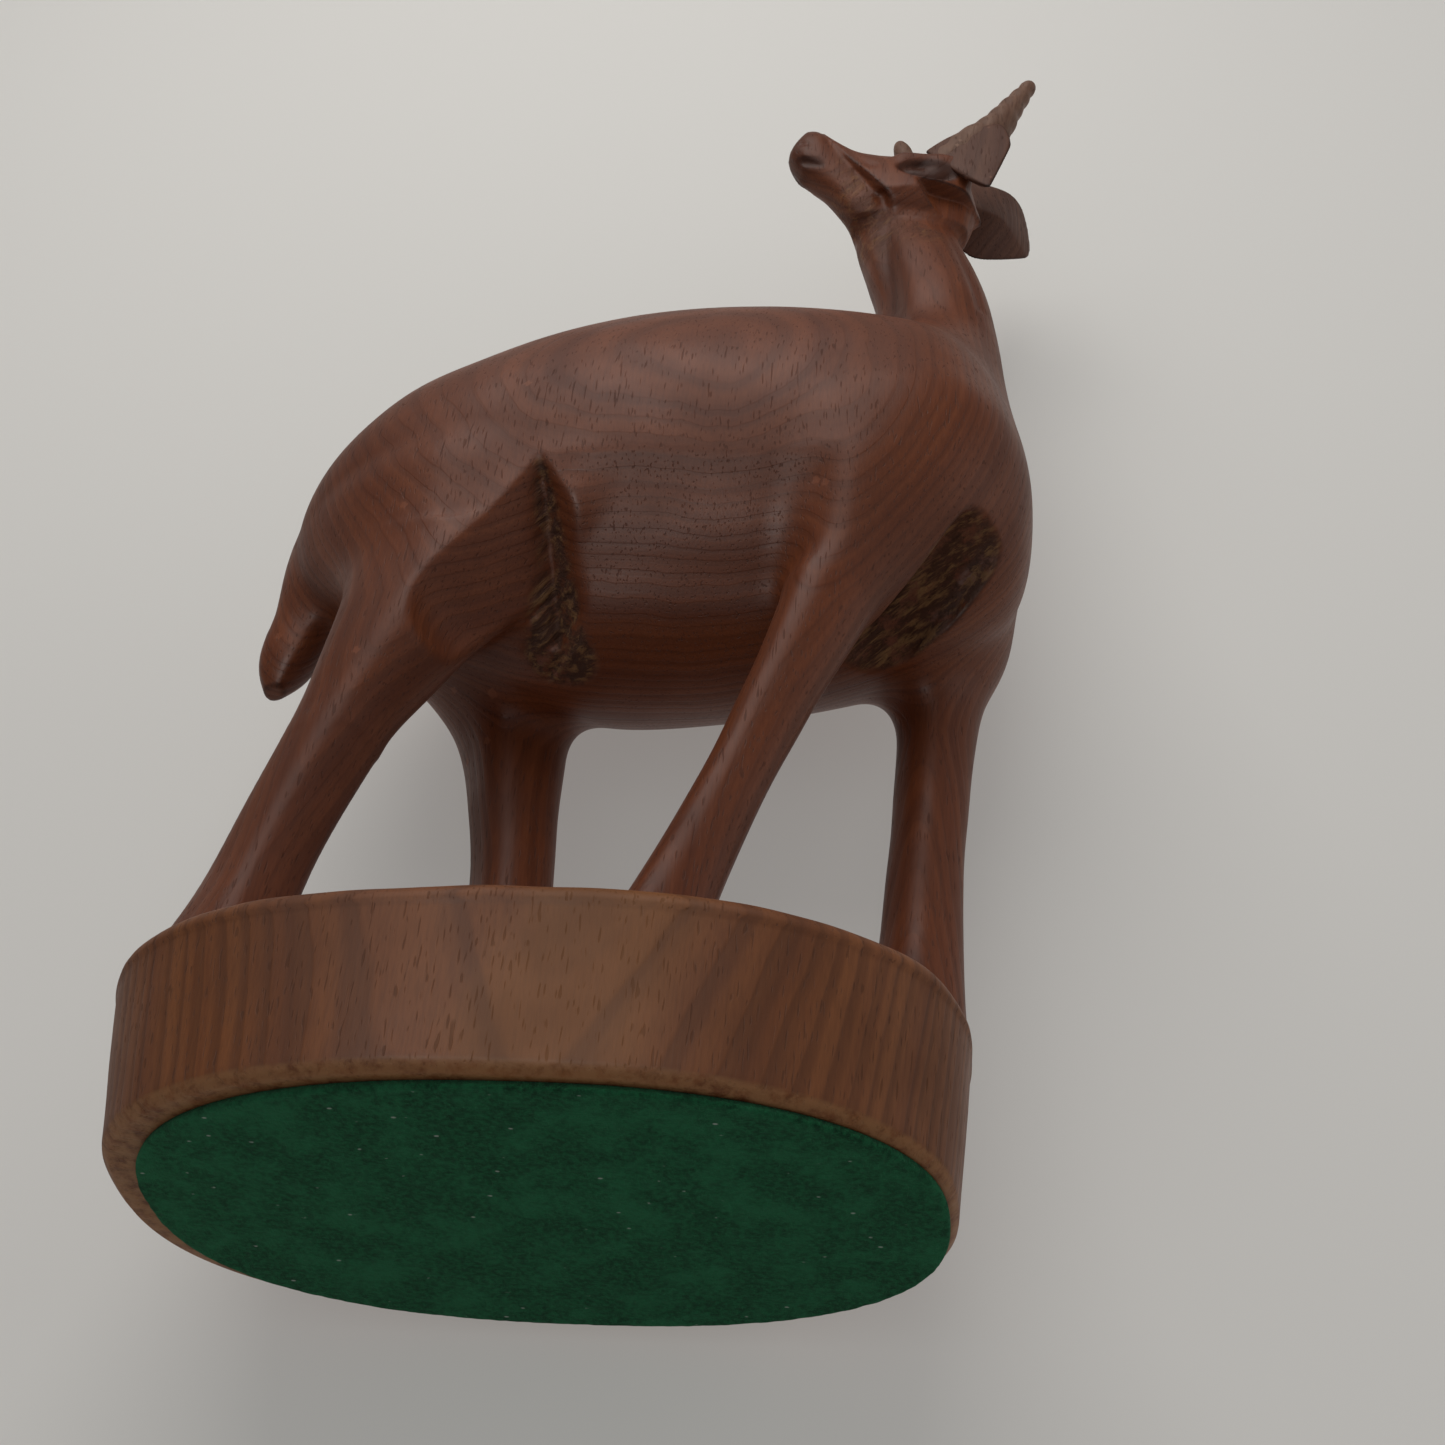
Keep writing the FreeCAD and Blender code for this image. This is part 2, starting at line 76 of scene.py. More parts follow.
def curve(t, rows, column):
    """Smooth curve through one column of a table whose first column is the position."""
    knots = np.array([row[0] for row in rows], float)
    values = np.array([row[column] for row in rows], float)
    slopes = np.gradient(values, knots)
    t = np.clip(t, knots[0], knots[-1])
    cell = np.clip(np.searchsorted(knots, t) - 1, 0, len(knots) - 2)
    width = knots[cell + 1] - knots[cell]
    s = (t - knots[cell]) / width
    return ((2 * s**3 - 3 * s**2 + 1) * values[cell] + (s**3 - 2 * s**2 + s) * width * slopes[cell]
            + (3 * s**2 - 2 * s**3) * values[cell + 1] + (s**3 - s**2) * width * slopes[cell + 1])


def soft_min(a, b, soft):
    """Smaller of two distances, blended where they differ by less than soft."""
    mix = np.clip(0.5 + 0.5 * (b - a) / soft, 0, 1)
    return b * (1 - mix) + a * mix - soft * mix * (1 - mix)


def soft_max(a, b, soft):
    """Larger of two distances, blended in the same way."""
    return -soft_min(-a, -b, soft)


class Field:
    """Signed distance (metres, negative inside) on a regular grid that covers a box."""

    def __init__(self, low, high, voxel):
        self.voxel = voxel
        self.low = np.array(low, float)
        counts = np.ceil((np.array(high) - self.low) / voxel).astype(int) + 1
        self.axes = [self.low[i] + voxel * np.arange(counts[i]) for i in range(3)]
        self.d = np.full(counts, FAR, np.float32)

    def window(self, low, high):
        """The part of the grid inside a box: its slices, and its coordinates along each axis."""
        cut = []
        for i in range(3):
            first = max(0, int((low[i] - self.low[i]) / self.voxel))
            last = min(len(self.axes[i]), int((high[i] - self.low[i]) / self.voxel) + 2)
            cut.append(slice(first, last))
        x = self.axes[0][cut[0]][:, None, None].astype(np.float32)
        y = self.axes[1][cut[1]][None, :, None].astype(np.float32)
        z = self.axes[2][cut[2]][None, None, :].astype(np.float32)
        return tuple(cut), x, y, z

    def add(self, low, high, shape, soft):
        """Smooth union with shape(x, y, z), worked out only inside a box."""
        cut, x, y, z = self.window(low, high)
        soft = soft(x, y, z) if callable(soft) else soft
        self.d[cut] = soft_min(shape(x, y, z), self.d[cut], soft)

    def carve(self, low, high, shape, soft):
        """Smooth removal of shape(x, y, z)."""
        cut, x, y, z = self.window(low, high)
        self.d[cut] = soft_max(-shape(x, y, z), self.d[cut], soft)

    def offset(self, low, high, amount):
        """Moves the surface out by amount(x, y, z) inside a box."""
        cut, x, y, z = self.window(low, high)
        self.d[cut] -= amount(x, y, z)

    def mesh(self, name):
        """Closed quad mesh of the zero surface."""
        grid = openvdb.FloatGrid(FAR)
        grid.copyFromArray(np.ascontiguousarray(self.d))
        points, quads = grid.convertToQuads()
        # openvdb's quads face inwards, so each is turned round
        mesh = bpy.data.meshes.new(name)
        mesh.from_pydata((points * self.voxel + self.low).tolist(), [], quads[:, ::-1].tolist())
        mesh.polygons.foreach_set("use_smooth", np.ones(len(mesh.polygons), bool))
        mesh.update()
        piece = bpy.data.objects.new(name, mesh)
        bpy.context.scene.collection.objects.link(piece)
        return piece


def rounded(u, v, power):
    """Superellipse norm of two scaled coordinates."""
    return (np.abs(u)**power + np.abs(v)**power) ** (1.0 / power)


def ball(centre, radii, turn=None, power=2.0):
    """Ellipsoid, or a rounded box at a higher power; turn is a 3x3 whose rows are its own axes."""
    centre = np.array(centre, float)
    radii = np.array(radii, float)
    axes = np.eye(3) if turn is None else np.array(turn, float)

    def shape(x, y, z):
        p = (x - centre[0], y - centre[1], z - centre[2])
        q = [np.abs(sum(axes[i][j] * p[j] for j in range(3)) / radii[i]) for i in range(3)]
        norm = (q[0]**power + q[1]**power + q[2]**power) ** (1 / power) + 1e-6
        # slope of the norm, which turns it into a length
        slope = np.sqrt(sum((q[i] / norm)**(2 * power - 2) / radii[i]**2 for i in range(3)))
        return (norm - 1.0) / slope
    reach = float(np.linalg.norm(radii))
    return centre - reach, centre + reach, shape


def rod(a, b, radius_a, radius_b):
    """Round bar from a to b whose radius changes from end to end."""
    a, b = np.array(a, float), np.array(b, float)
    run = b - a
    length2 = float(run @ run)

    def shape(x, y, z):
        t = ((x - a[0]) * run[0] + (y - a[1]) * run[1] + (z - a[2]) * run[2]) / length2
        t = np.clip(t, 0, 1)
        gap = np.sqrt((x - a[0] - t * run[0])**2 + (y - a[1] - t * run[1])**2 + (z - a[2] - t * run[2])**2)
        return gap - (radius_a + (radius_b - radius_a) * t)
    reach = max(radius_a, radius_b)
    return np.minimum(a, b) - reach, np.maximum(a, b) + reach, shape


def widen(shape, margin):
    """The same shape with a larger box round it, so that soft unions have room."""
    low, high, function = shape
    return np.array(low) - margin, np.array(high) + margin, function


def level_limb(rows, power=2.0, turn=0.0):
    """Limb made of level rings; rows are (height, x, y, radius along x, radius along y) in HALFs."""
    table = [[UNDERSIDE + r[0] * HALF] + [v * HALF for v in r[1:]] for r in rows]
    low = np.array([min(r[1] - r[3] for r in table), min(r[2] - r[4] for r in table), table[0][0]])
    high = np.array([max(r[1] + r[3] for r in table), max(r[2] + r[4] for r in table), table[-1][0]])
    cos, sin = math.cos(turn), math.sin(turn)

    def shape(x, y, z):
        level = z.ravel().astype(float)
        cx, cy, rx, ry = [curve(level, table, c).astype(np.float32)[None, None, :] for c in (1, 2, 3, 4)]
        lean = np.gradient(cx.ravel(), level)**2 + np.gradient(cy.ravel(), level)**2
        lean = (1.0 / np.sqrt(1.0 + lean)).astype(np.float32)[None, None, :]
        u = (cos * (x - cx) + sin * (y - cy)) / rx
        v = (-sin * (x - cx) + cos * (y - cy)) / ry
        side = (rounded(u, v, power) - 1.0) * np.sqrt(rx * ry) * lean
        ends = np.maximum(table[0][0] - z, z - table[-1][0])
        return np.maximum(side, ends)
    return low, high, shape


# ------------------------------------------------------------------ the carved block
# Rows are in half plinth lengths; heights count from the wood's underside.
SOLE = (DECK - UNDERSIDE) / HALF
TORSO_MIDDLE = 0.11
TORSO_HALF_LENGTH = 1.11
TORSO = (
    # x, half width, half depth, height of the centre (before the ends are rounded off)
    (-1.02, 0.465, 0.545, 2.12), (-0.75, 0.505, 0.565, 2.24), (-0.45, 0.522, 0.610, 2.285),
    (0.00, 0.545, 0.715, 2.32), (0.40, 0.552, 0.725, 2.35), (0.75, 0.580, 0.735, 2.37),
    (1.00, 0.625, 0.775, 2.36), (1.22, 0.615, 0.780, 2.29),
)
# Limb rows: height, x, y, radius along x, radius along y
RIGHT_HIND = (
    (SOLE, -0.795, -0.28, 0.137, 0.130), (0.60, -0.772, -0.28, 0.117, 0.114),
    (1.05, -0.672, -0.29, 0.108, 0.108), (1.35, -0.578, -0.30, 0.124, 0.120),
    (1.60, -0.500, -0.30, 0.150, 0.128), (1.80, -0.46, -0.28, 0.165, 0.130),
)
RIGHT_THIGH = (
    (1.22, -0.630, -0.29, 0.045, 0.045), (1.35, -0.585, -0.29, 0.105, 0.100),
    (1.55, -0.510, -0.29, 0.190, 0.135), (1.75, -0.420, -0.285, 0.290, 0.160),
    (1.95, -0.300, -0.28, 0.390, 0.190), (2.15, -0.240, -0.265, 0.380, 0.215),
    (2.40, -0.220, -0.22, 0.280, 0.180),
)
LEFT_HIND = (
    (SOLE, -0.20, 0.28, 0.140, 0.135), (0.90, -0.23, 0.28, 0.112, 0.110),
    (1.36, -0.28, 0.29, 0.122, 0.115), (1.65, -0.33, 0.30, 0.160, 0.145),
    (1.95, -0.42, 0.28, 0.250, 0.200), (2.15, -0.44, 0.26, 0.280, 0.200),
)
RIGHT_FORE = (
    (SOLE, 0.235, -0.28, 0.135, 0.125), (0.70, 0.31, -0.28, 0.106, 0.105),
    (1.10, 0.45, -0.29, 0.090, 0.092), (1.45, 0.58, -0.31, 0.108, 0.100),
    (1.78, 0.69, -0.31, 0.150, 0.130), (2.10, 0.78, -0.29, 0.240, 0.200),
    (2.38, 0.83, -0.26, 0.240, 0.205), (2.62, 0.83, -0.19, 0.110, 0.110),
)
LEFT_FORE = (
    (SOLE, 0.895, 0.13, 0.125, 0.125), (0.80, 0.900, 0.15, 0.104, 0.105),
    (1.30, 0.920, 0.19, 0.096, 0.098), (1.75, 0.945, 0.25, 0.120, 0.115),
    (2.05, 0.955, 0.28, 0.162, 0.146), (2.30, 0.92, 0.23, 0.130, 0.130),
)
NECK = (
    (2.53, 0.85, 0.03, 0.265, 0.250), (2.87, 0.895, 0.03, 0.250, 0.240),
    (3.10, 0.925, 0.03, 0.210, 0.200), (3.29, 0.917, 0.02, 0.190, 0.175),
    (3.50, 0.875, 0.025, 0.187, 0.155), (3.70, 0.825, 0.03, 0.180, 0.122),
    (3.90, 0.785, 0.03, 0.160, 0.100),
)
TAIL = (
    (1.60, -0.975, 0.00, 0.030, 0.040), (1.65, -0.970, 0.00, 0.060, 0.070),
    (1.88, -0.928, -0.01, 0.098, 0.096), (2.12, -0.890, -0.01, 0.120, 0.115),
    (2.32, -0.830, 0.00, 0.110, 0.115),
)

# The body walks along +x and the head looks back along -x. In the head's own frame, forward runs
# along the muzzle and left towards the left ear, so left in the head is -y while the body's left is +y.
YAW = math.radians(14)
SKULL = at(0.86, 0, 3.955)
FORWARD = np.array([-math.cos(YAW), -math.sin(YAW), 0.0])
LEFT = np.array([math.sin(YAW), -math.cos(YAW), 0.0])
UP = np.array([0.0, 0.0, 1.0])
HEAD_AXES = (FORWARD, LEFT, UP)


def head(forward, left, up):
    """Point of the head, given in millimetres from the middle of the skull."""
    return SKULL + MM * (forward * FORWARD + left * LEFT + up * UP)


def head_coordinates(x, y, z):
    """The same the other way: millimetres forward, left and up of the middle of the skull."""
    px, py, pz = (x - SKULL[0]) / MM, (y - SKULL[1]) / MM, (z - SKULL[2]) / MM
    forward = px * FORWARD[0] + py * FORWARD[1]
    left = px * LEFT[0] + py * LEFT[1]
    return forward, left, pz + 0 * forward


def head_box(forward, left, up):
    """Box round a block of the head; each argument is a (least, most) pair in millimetres."""
    corners = np.array([head(f, l, u) for f in forward for l in left for u in up])
    return corners.min(0), corners.max(0)


# Side view of the head in millimetres: forward, top, bottom, half width of the throat and snout,
# half width of the cheeks
HEAD = (
    (-11.0, 3.0, -9.0, 2.6, 3.4), (-8.0, 5.6, -15.0, 4.0, 6.6), (-4.0, 7.0, -18.5, 4.4, 8.0),
    (0.0, 7.8, -18.0, 4.5, 8.3), (5.0, 7.6, -16.0, 4.8, 7.8), (10.0, 7.2, -13.0, 4.6, 6.9),
    (14.0, 8.0, -10.0, 4.2, 6.0), (18.0, 10.4, -4.4, 4.2, 5.5), (21.5, 12.8, -1.2, 4.5, 5.0),
    (23.4, 12.4, 0.0, 4.1, 4.3), (24.8, 10.8, 1.4, 3.5, 3.2), (26.2, 8.0, 3.6, 2.6, 2.2),
)
# Lower edge of the cheek, from the nose's bridge down and back to the corner of the jaw: forward, up
CHEEK_EDGE = (
    (23.0, 14.0), (18.5, 7.0), (15.2, -2.0), (12.9, -7.6), (5.3, -11.7), (0.7, -15.3), (-3.2, -17.5),
)
NOSE_END = 25.6
SKULL_END = -10.5


def torso_shape():
    """Barrel of the body: oval rings along x, with rounded ends."""
    table = [[v * HALF for v in row] for row in TORSO]
    middle, reach = TORSO_MIDDLE * HALF, TORSO_HALF_LENGTH * HALF

    def shape(x, y, z):
        along = x.ravel().astype(float)
        wide, deep, level = [curve(along, table, c).astype(np.float32)[:, None, None] for c in (1, 2, 3)]
        ring = np.sqrt((y / wide)**2 + ((z - UNDERSIDE - level) / deep)**2)
        norm = rounded((x - middle) / reach, ring, 2.5)
        # the barrel's half width turns the norm into a length
        return (norm - 1.0) * 0.55 * HALF
    return at(-1.1, -0.7, 1.3), at(1.3, 0.7, 3.3), shape


def head_core(width_column, drop):
    """Block of the head; drop lowers its underside, which leaves its sides straight for longer."""
    def shape(x, y, z):
        forward, left, up = head_coordinates(x, y, z)
        columns = [curve(forward.astype(float), HEAD, c).astype(np.float32) for c in (1, 2, width_column)]
        top, bottom, wide = columns
        bottom = bottom - drop
        middle, deep = (top + bottom) / 2, (top - bottom) / 2
        side = (rounded(left / wide, (up - middle) / deep, 2.5) - 1.0) * np.minimum(wide, deep)
        ends = np.maximum(SKULL_END - forward, forward - NOSE_END)
        # the last 2 mm before each end draw in a little
        blunt = MM * (side + np.maximum(ends, 0) + 0.35 * np.clip(ends + 2.0, 0, 2.0))
        return np.maximum(blunt, rounding(x, y, z))
    rounding = ball(head(0, 0, 3.8), (26.3 * MM, 9.5 * MM, 15.5 * MM), HEAD_AXES, 3.0)[2]
    return *head_box((-14, 30), (-12, 12), (-22, 16)), shape


def below_cheek(forward, up):
    """Millimetres below and in front of the cheek's edge; negative on the cheek."""
    gap = -100.0
    for (f0, u0), (f1, u1) in zip(CHEEK_EDGE, CHEEK_EDGE[1:]):
        length = math.hypot(f1 - f0, u1 - u0)
        gap = np.maximum(gap, ((forward - f0) * (u0 - u1) - (up - u0) * (f0 - f1)) / length)
    return gap


def cheek_shape():
    """The wide upper part of the head, above the sharp lower edge of the cheeks."""
    low, high, full = head_core(4, 7.0)

    def shape(x, y, z):
        forward, left, up = head_coordinates(x, y, z)
        cut = below_cheek(forward, up) + 0 * left
        # behind a leaning line the cheek slopes in towards the neck
        rear = 1.5 + 0.41 * (up + 6.0)
        behind = 0.75 * (rear - forward) + 0.66 * (np.abs(left) - 7.4)
        cut = np.maximum(cut, np.where(up < -5.0, behind, -100.0))
        return np.maximum(full(x, y, z), MM * cut)
    return low, high, shape


def plane(point, facing):
    """Signed distance above the plane through a point; facing is its normal."""
    facing = np.array(facing, float) / np.linalg.norm(facing)

    def distance(x, y, z):
        return (x - point[0]) * facing[0] + (y - point[1]) * facing[1] + (z - point[2]) * facing[2]
    return distance


# The hollow of the groin: its apex on the flank, a point half way down, and where it ends on the belly
GROIN_APEX = at(-0.17, -0.47, 2.04)
GROIN_MIDDLE = at(-0.13, -0.31, 1.79)
GROIN_END = at(-0.12, -0.12, 1.65)
# Directions that its two flat sides face
THIGH_FACE = (0.665, -0.577, -0.474)
BELLY_FACE = (-0.657, -0.496, -0.569)
# The hollow under the breast, between the forelegs
BREAST_TOP = at(1.06, -0.26, 1.95)
BREAST_END = at(0.76, -0.05, 1.70)


def groin_shape():
    """Wedge hollowed out between the right thigh and the belly, with its apex at the flank."""
    thigh_side = plane(GROIN_APEX, THIGH_FACE)
    belly_side = plane(GROIN_APEX, BELLY_FACE)
    low, high, reach = ball(at(-0.24, -0.36, 1.80), [0.46 * HALF] * 3)

    def shape(x, y, z):
        wedge = np.maximum(-thigh_side(x, y, z), -belly_side(x, y, z))
        return soft_max(reach(x, y, z), wedge, 14 * MM)
    return low, high, shape


def breast_shape():
    """Slanting hollow chopped out under the breast."""
    run = (BREAST_END - BREAST_TOP) / np.linalg.norm(BREAST_END - BREAST_TOP)
    across = np.cross(run, (0.30, -0.45, -0.84))
    across /= np.linalg.norm(across)
    out = np.cross(across, run)
    middle = (BREAST_TOP + BREAST_END) / 2 + out * 1.0 * MM
    return ball(middle, (16 * MM, 5.6 * MM, 4.6 * MM), (run, across, out), 3.5)


def eye_place(side):
    """Middle of an eye; side is 1 for the left and -1 for the right."""
    return head(0.2, side * 8.5, -1.1)


def mouth_line(side):
    """Front and back end of one side of the mouth."""
    return head(26.0, side * 2.0, 2.2), head(20.3, side * 4.0, -0.1)


def carve_face(field):
    """Eyes, brows, ear roots, mouth, nostrils, cheek grooves and the notch of the nose."""
    for side in (1, -1):
        eye = eye_place(side)
        field.carve(*widen(ball(eye, (6.7 * MM, 3.0 * MM, 3.2 * MM), HEAD_AXES), 2 * MM), 0.4 * MM)
        lid = ball(eye - side * 2.9 * MM * LEFT, (4.8 * MM, 1.3 * MM, 1.7 * MM), HEAD_AXES)
        field.add(*widen(lid, 1 * MM), 0.3 * MM)
        brow = rod(head(4.5, side * 6.6, 3.0), head(-5, side * 7.9, 3.2), 0.7 * MM, 0.8 * MM)
        field.add(*widen(brow, 4 * MM), 2.5 * MM)
        ear_root = rod(head(-3, side * 5.2, 1.6), head(-7.5, side * 6.6, 0.8), 2.8 * MM, 1.9 * MM)
        field.add(*widen(ear_root, 4 * MM), 2.5 * MM)
        mouth = rod(*mouth_line(side), 0.9 * MM, 0.7 * MM)
        field.carve(*widen(mouth, 2 * MM), 0.3 * MM)
        nostril = rod(head(24.8, side * 3.4, 6.4), head(23.2, side * 4.4, 5.4), 0.55 * MM, 0.4 * MM)
        field.carve(*widen(nostril, 2 * MM), 0.7 * MM)
        groove = rod(head(19.0, side * 5.6, 7.2), head(11.2, side * 7.2, -0.8), 0.8 * MM, 0.8 * MM)
        field.carve(*widen(groove, 3 * MM), 1.6 * MM)
    notch = rod(head(26.9, -4, 2.2), head(26.9, 4, 2.2), 0.9 * MM, 0.9 * MM)
    field.carve(*widen(notch, 2 * MM), 0.6 * MM)


def haunch_softness(x, y, z):
    """Sharp in the groin, blended where the haunch runs into the flank."""
    low_enough = smooth_step(at(0, 0, 2.35)[2], at(0, 0, 2.05)[2], z)
    return MM * (2.0 + 10.0 * smooth_step(-0.20 * HALF, -0.50 * HALF, x) * low_enough + 0 * y)


def raw_wood(x, y, z):
    """1 where the wood was left chopped and unpolished, 0 where it was sanded and polished."""
    breast = smooth_step(1.0 * MM, 0.0, breast_shape()[2](x, y, z))
    upper = rod(GROIN_APEX, GROIN_MIDDLE, 0.3 * MM, 1.6 * MM)[2](x, y, z)
    lower = rod(GROIN_MIDDLE, GROIN_END, 1.6 * MM, 5.0 * MM)[2](x, y, z)
    groin = smooth_step(2.0 * MM, 0.0, np.minimum(upper, lower))
    forward, left, up = head_coordinates(x, y, z)
    throat = smooth_step(-5.0, -2.0, forward) * smooth_step(20.0, 14.0, forward)
    throat = throat * smooth_step(0.3, 1.0, below_cheek(forward, up)) * smooth_step(-25.0, -19.0, up)
    return np.clip(breast + groin + 0.45 * throat, 0, 1)


def groove_middle(level):
    """Where the groove on the neck's near side lies along x, for a height in HALFs."""
    return (0.737 + 0.114 * (3.72 - level)) * HALF


def neck_groove(x, y, z):
    """1 in the middle of the groove down the neck's near side, 0 away from it."""
    level = (z - UNDERSIDE) / HALF
    beside = np.exp(-((x - groove_middle(level)) / (2.3 * MM))**2)
    along = smooth_step(2.80, 3.10, level) * smooth_step(3.80, 3.55, level)
    return beside * along * smooth_step(0.0, -0.08 * HALF, y)


def painted_shade(x, y, z):
    """1 where shade is painted into the wood's colour: the recesses of the eyes and mouth, the tip of the
    nose and the neck's groove.
    """
    dark = 0.75 * neck_groove(x, y, z)
    for side in (1, -1):
        eye = ball(eye_place(side), (6.4 * MM, 3.6 * MM, 2.9 * MM), HEAD_AXES)[2](x, y, z)
        mouth = rod(*mouth_line(side), 0.7 * MM, 0.4 * MM)[2](x, y, z)
        dark = dark + smooth_step(0.5 * MM, -0.4 * MM, eye) + smooth_step(0.7 * MM, 0.0, mouth)
    forward, left, up = head_coordinates(x, y, z)
    nose = smooth_step(19.5, 25.0, forward + 0.25 * left) * smooth_step(-8.0, -6.0, up)
    return np.clip(dark + 0.6 * nose, 0, 1)


def chisel_marks(x, y, z):
    """Shallow parallel cuts in the unpolished places."""
    run = 0.62 * x + 0.05 * y + 0.78 * z
    across = 0.70 * x + 0.42 * y - 0.58 * z
    cuts = np.abs(np.sin(across / (0.80 * MM) + 1.6 * np.sin(run / (6 * MM)) + 2.5 * np.sin(run / (17 * MM))))
    depth = 0.15 + 0.35 * np.sin(run / (3.1 * MM) + across / (2.3 * MM))**2
    return -depth * MM * (1 - cuts) * raw_wood(x, y, z)


def belly_ledge(x, y, z):
    """The belly between the right legs was polished a little deeper than the flank above it."""
    along = smooth_step(-0.20 * HALF, -0.08 * HALF, x) * smooth_step(0.72 * HALF, 0.60 * HALF, x)
    level = (z - UNDERSIDE) / HALF
    down = smooth_step(2.08, 1.98, level) * smooth_step(1.66, 1.80, level)
    return -1.0 * MM * along * down * smooth_step(-0.15 * HALF, -0.30 * HALF, y)


def hand_made(x, y, z):
    """Slow swells and flats, a few centimetres long, that a rasp and sandpaper leave."""
    swell = np.sin(x * 170 + 2.1 * np.sin(z * 90)) * np.sin(z * 140 + 1.3)
    swell = swell + 0.6 * np.sin(y * 230 + z * 75 + 0.7)
    return 0.10 * MM * swell


def carve_neck(field):
    """Grooves beside the throat, down the near side and along the nape; the hollow at the withers."""
    grooves = (
        (at(0.735, -0.125, 3.80), at(0.765, -0.13, 3.20), 0.9, 1.2),
        (at(0.985, -0.10, 3.62), at(1.085, -0.12, 3.20), 0.8, 0.8),
    )
    for top, bottom, upper_radius, lower_radius in grooves:
        field.carve(*widen(rod(top, bottom, upper_radius * MM, lower_radius * MM), 4 * MM), 1.8 * MM)
    field.offset(at(0.6, -0.5, 2.7), at(1.2, 0.0, 3.9), lambda x, y, z: -1.0 * MM * neck_groove(x, y, z))
    hollow = rod(at(0.38, -0.30, 2.97), at(0.66, -0.27, 2.99), 1.2 * MM, 2.4 * MM)
    field.carve(*widen(hollow, 4 * MM), 1.5 * MM)


def build_figure():
    """The carved block: body, legs, tail, neck and head in one piece."""
    low, high = at(-1.16, -0.72, SOLE - 0.02), at(1.34, 0.72, 4.30)
    field = Field(low, high, VOXEL)
    field.add(*widen(torso_shape(), 10 * MM), 2 * MM)
    field.add(*widen(level_limb(NECK), 8 * MM), 7 * MM)
    field.add(*widen(level_limb(TAIL, 1.6, 0.6), 6 * MM), 3 * MM)
    field.add(*widen(level_limb(RIGHT_THIGH, 2.6, -0.2), 16 * MM), haunch_softness)
    field.add(*widen(level_limb(RIGHT_HIND, 3.0, -0.5), 8 * MM), 5 * MM)
    for rows, turn in ((LEFT_HIND, 0.7), (RIGHT_FORE, 0.5), (LEFT_FORE, 0.6)):
        field.add(*widen(level_limb(rows, 2.7, turn), 8 * MM), 6 * MM)
    field.offset(low, high, belly_ledge)
    field.carve(*widen(groin_shape(), 2 * MM), 0.9 * MM)
    field.carve(*widen(breast_shape(), 3 * MM), 0.8 * MM)
    field.add(*widen(head_core(3, 0.0), 4 * MM), 3 * MM)
    field.add(*widen(cheek_shape(), 2 * MM), 0.7 * MM)
    carve_face(field)
    carve_neck(field)
    field.offset(low, high, hand_made)
    field.offset(at(-0.6, -0.6, 1.4), at(1.2, 0.4, 2.2), chisel_marks)
    return field.mesh("figure_carved")


# ------------------------------------------------------------------ ears and horns
def hull_planes(points):
    """Outward planes (normal, offset) of the convex hull of a few points."""
    points = np.array(points, float)
    centre = points.mean(0)
    planes = []
    for a, b, c in itertools.combinations(range(len(points)), 3):
        normal = np.cross(points[b] - points[a], points[c] - points[a])
        if np.linalg.norm(normal) < 1e-12:
            continue          # the three points lie on one line
        normal /= np.linalg.norm(normal)
        offset = normal @ points[a]
        if normal @ centre > offset:
            normal, offset = -normal, -offset
        if (points @ normal <= offset + 1e-7).all():
            planes.append((normal, offset))
    return planes


def block(points, edge):
    """Convex block with slightly rounded edges."""
    points = np.array(points, float)
    planes = hull_planes(points)

    def shape(x, y, z):
        total = 0
        for normal, offset in planes:
            gap = x * normal[0] + y * normal[1] + z * normal[2] - offset
            total = total + np.exp(np.clip(gap / edge, -40, 40))
        # three planes meet at a typical corner; the constant keeps that corner in place
        return edge * (np.log(total + 1e-30) - math.log(3))
    return points.min(0), points.max(0), shape


# Corners of each ear in head millimetres: its outward face, then the blunt edge that shows beyond it
LEFT_EAR = (
    (0.4, 7.0, 5.9), (-4.0, 8.8, 9.6), (-8.3, 10.5, 11.6), (-13.4, 12.0, 12.0), (-14.8, 12.2, 10.0),
    (-15.6, 12.0, 5.9), (-11.4, 10.5, -7.4), (-6.5, 8.2, -2.4),
    (-1.0, 3.8, 10.0), (-4.5, 5.6, 13.8), (-13.0, 9.0, 16.0), (-14.4, 9.0, 9.8), (-10.8, 7.4, -3.2),
)
RIGHT_EAR = (
    (-3.0, -4.0, 3.0), (-11.6, -3.2, 5.5), (-18.2, -4.5, 5.0), (-24.2, -9.5, 2.9), (-24.5, -10.0, 1.7),
    (-18.8, -9.5, -1.5), (-12.5, -9.0, -4.0),
    (-8.8, -6.0, 19.1), (-15.3, -6.5, 18.8), (-19.6, -7.5, 20.0), (-22.3, -8.5, 19.2), (-24.3, -9.5, 17.0),
    (-25.5, -10.5, 12.4), (-26.2, -11.0, 5.9), (-25.0, -11.0, 2.8),
)
# Centre line and radius of each horn in head millimetres
LEFT_HORN = (
    (-4.0, 4.5, 5.0, 3.9), (-8.0, 6.3, 9.5, 3.9), (-12.4, 7.8, 14.4, 3.4), (-16.2, 8.8, 22.5, 2.3),
    (-20.0, 9.8, 30.6, 1.35),
)
RIGHT_HORN = ((-4.0, -4.5, 5.0, 3.0), (-1.0, -4.8, 12.0, 2.6), (1.5, -4.9, 19.0, 1.9), (3.2, -4.5, 23.6, 1.3))


def build_ear(name, corners):
    """Flat leaf-shaped block with crisp edges."""
    low, high, shape = block([head(*corner) for corner in corners], 0.25 * MM)
    field = Field(low - 3 * MM, high + 3 * MM, FINE)
    field.add(low - 3 * MM, high + 3 * MM, shape, 0.1 * MM)
    return field.mesh(name)


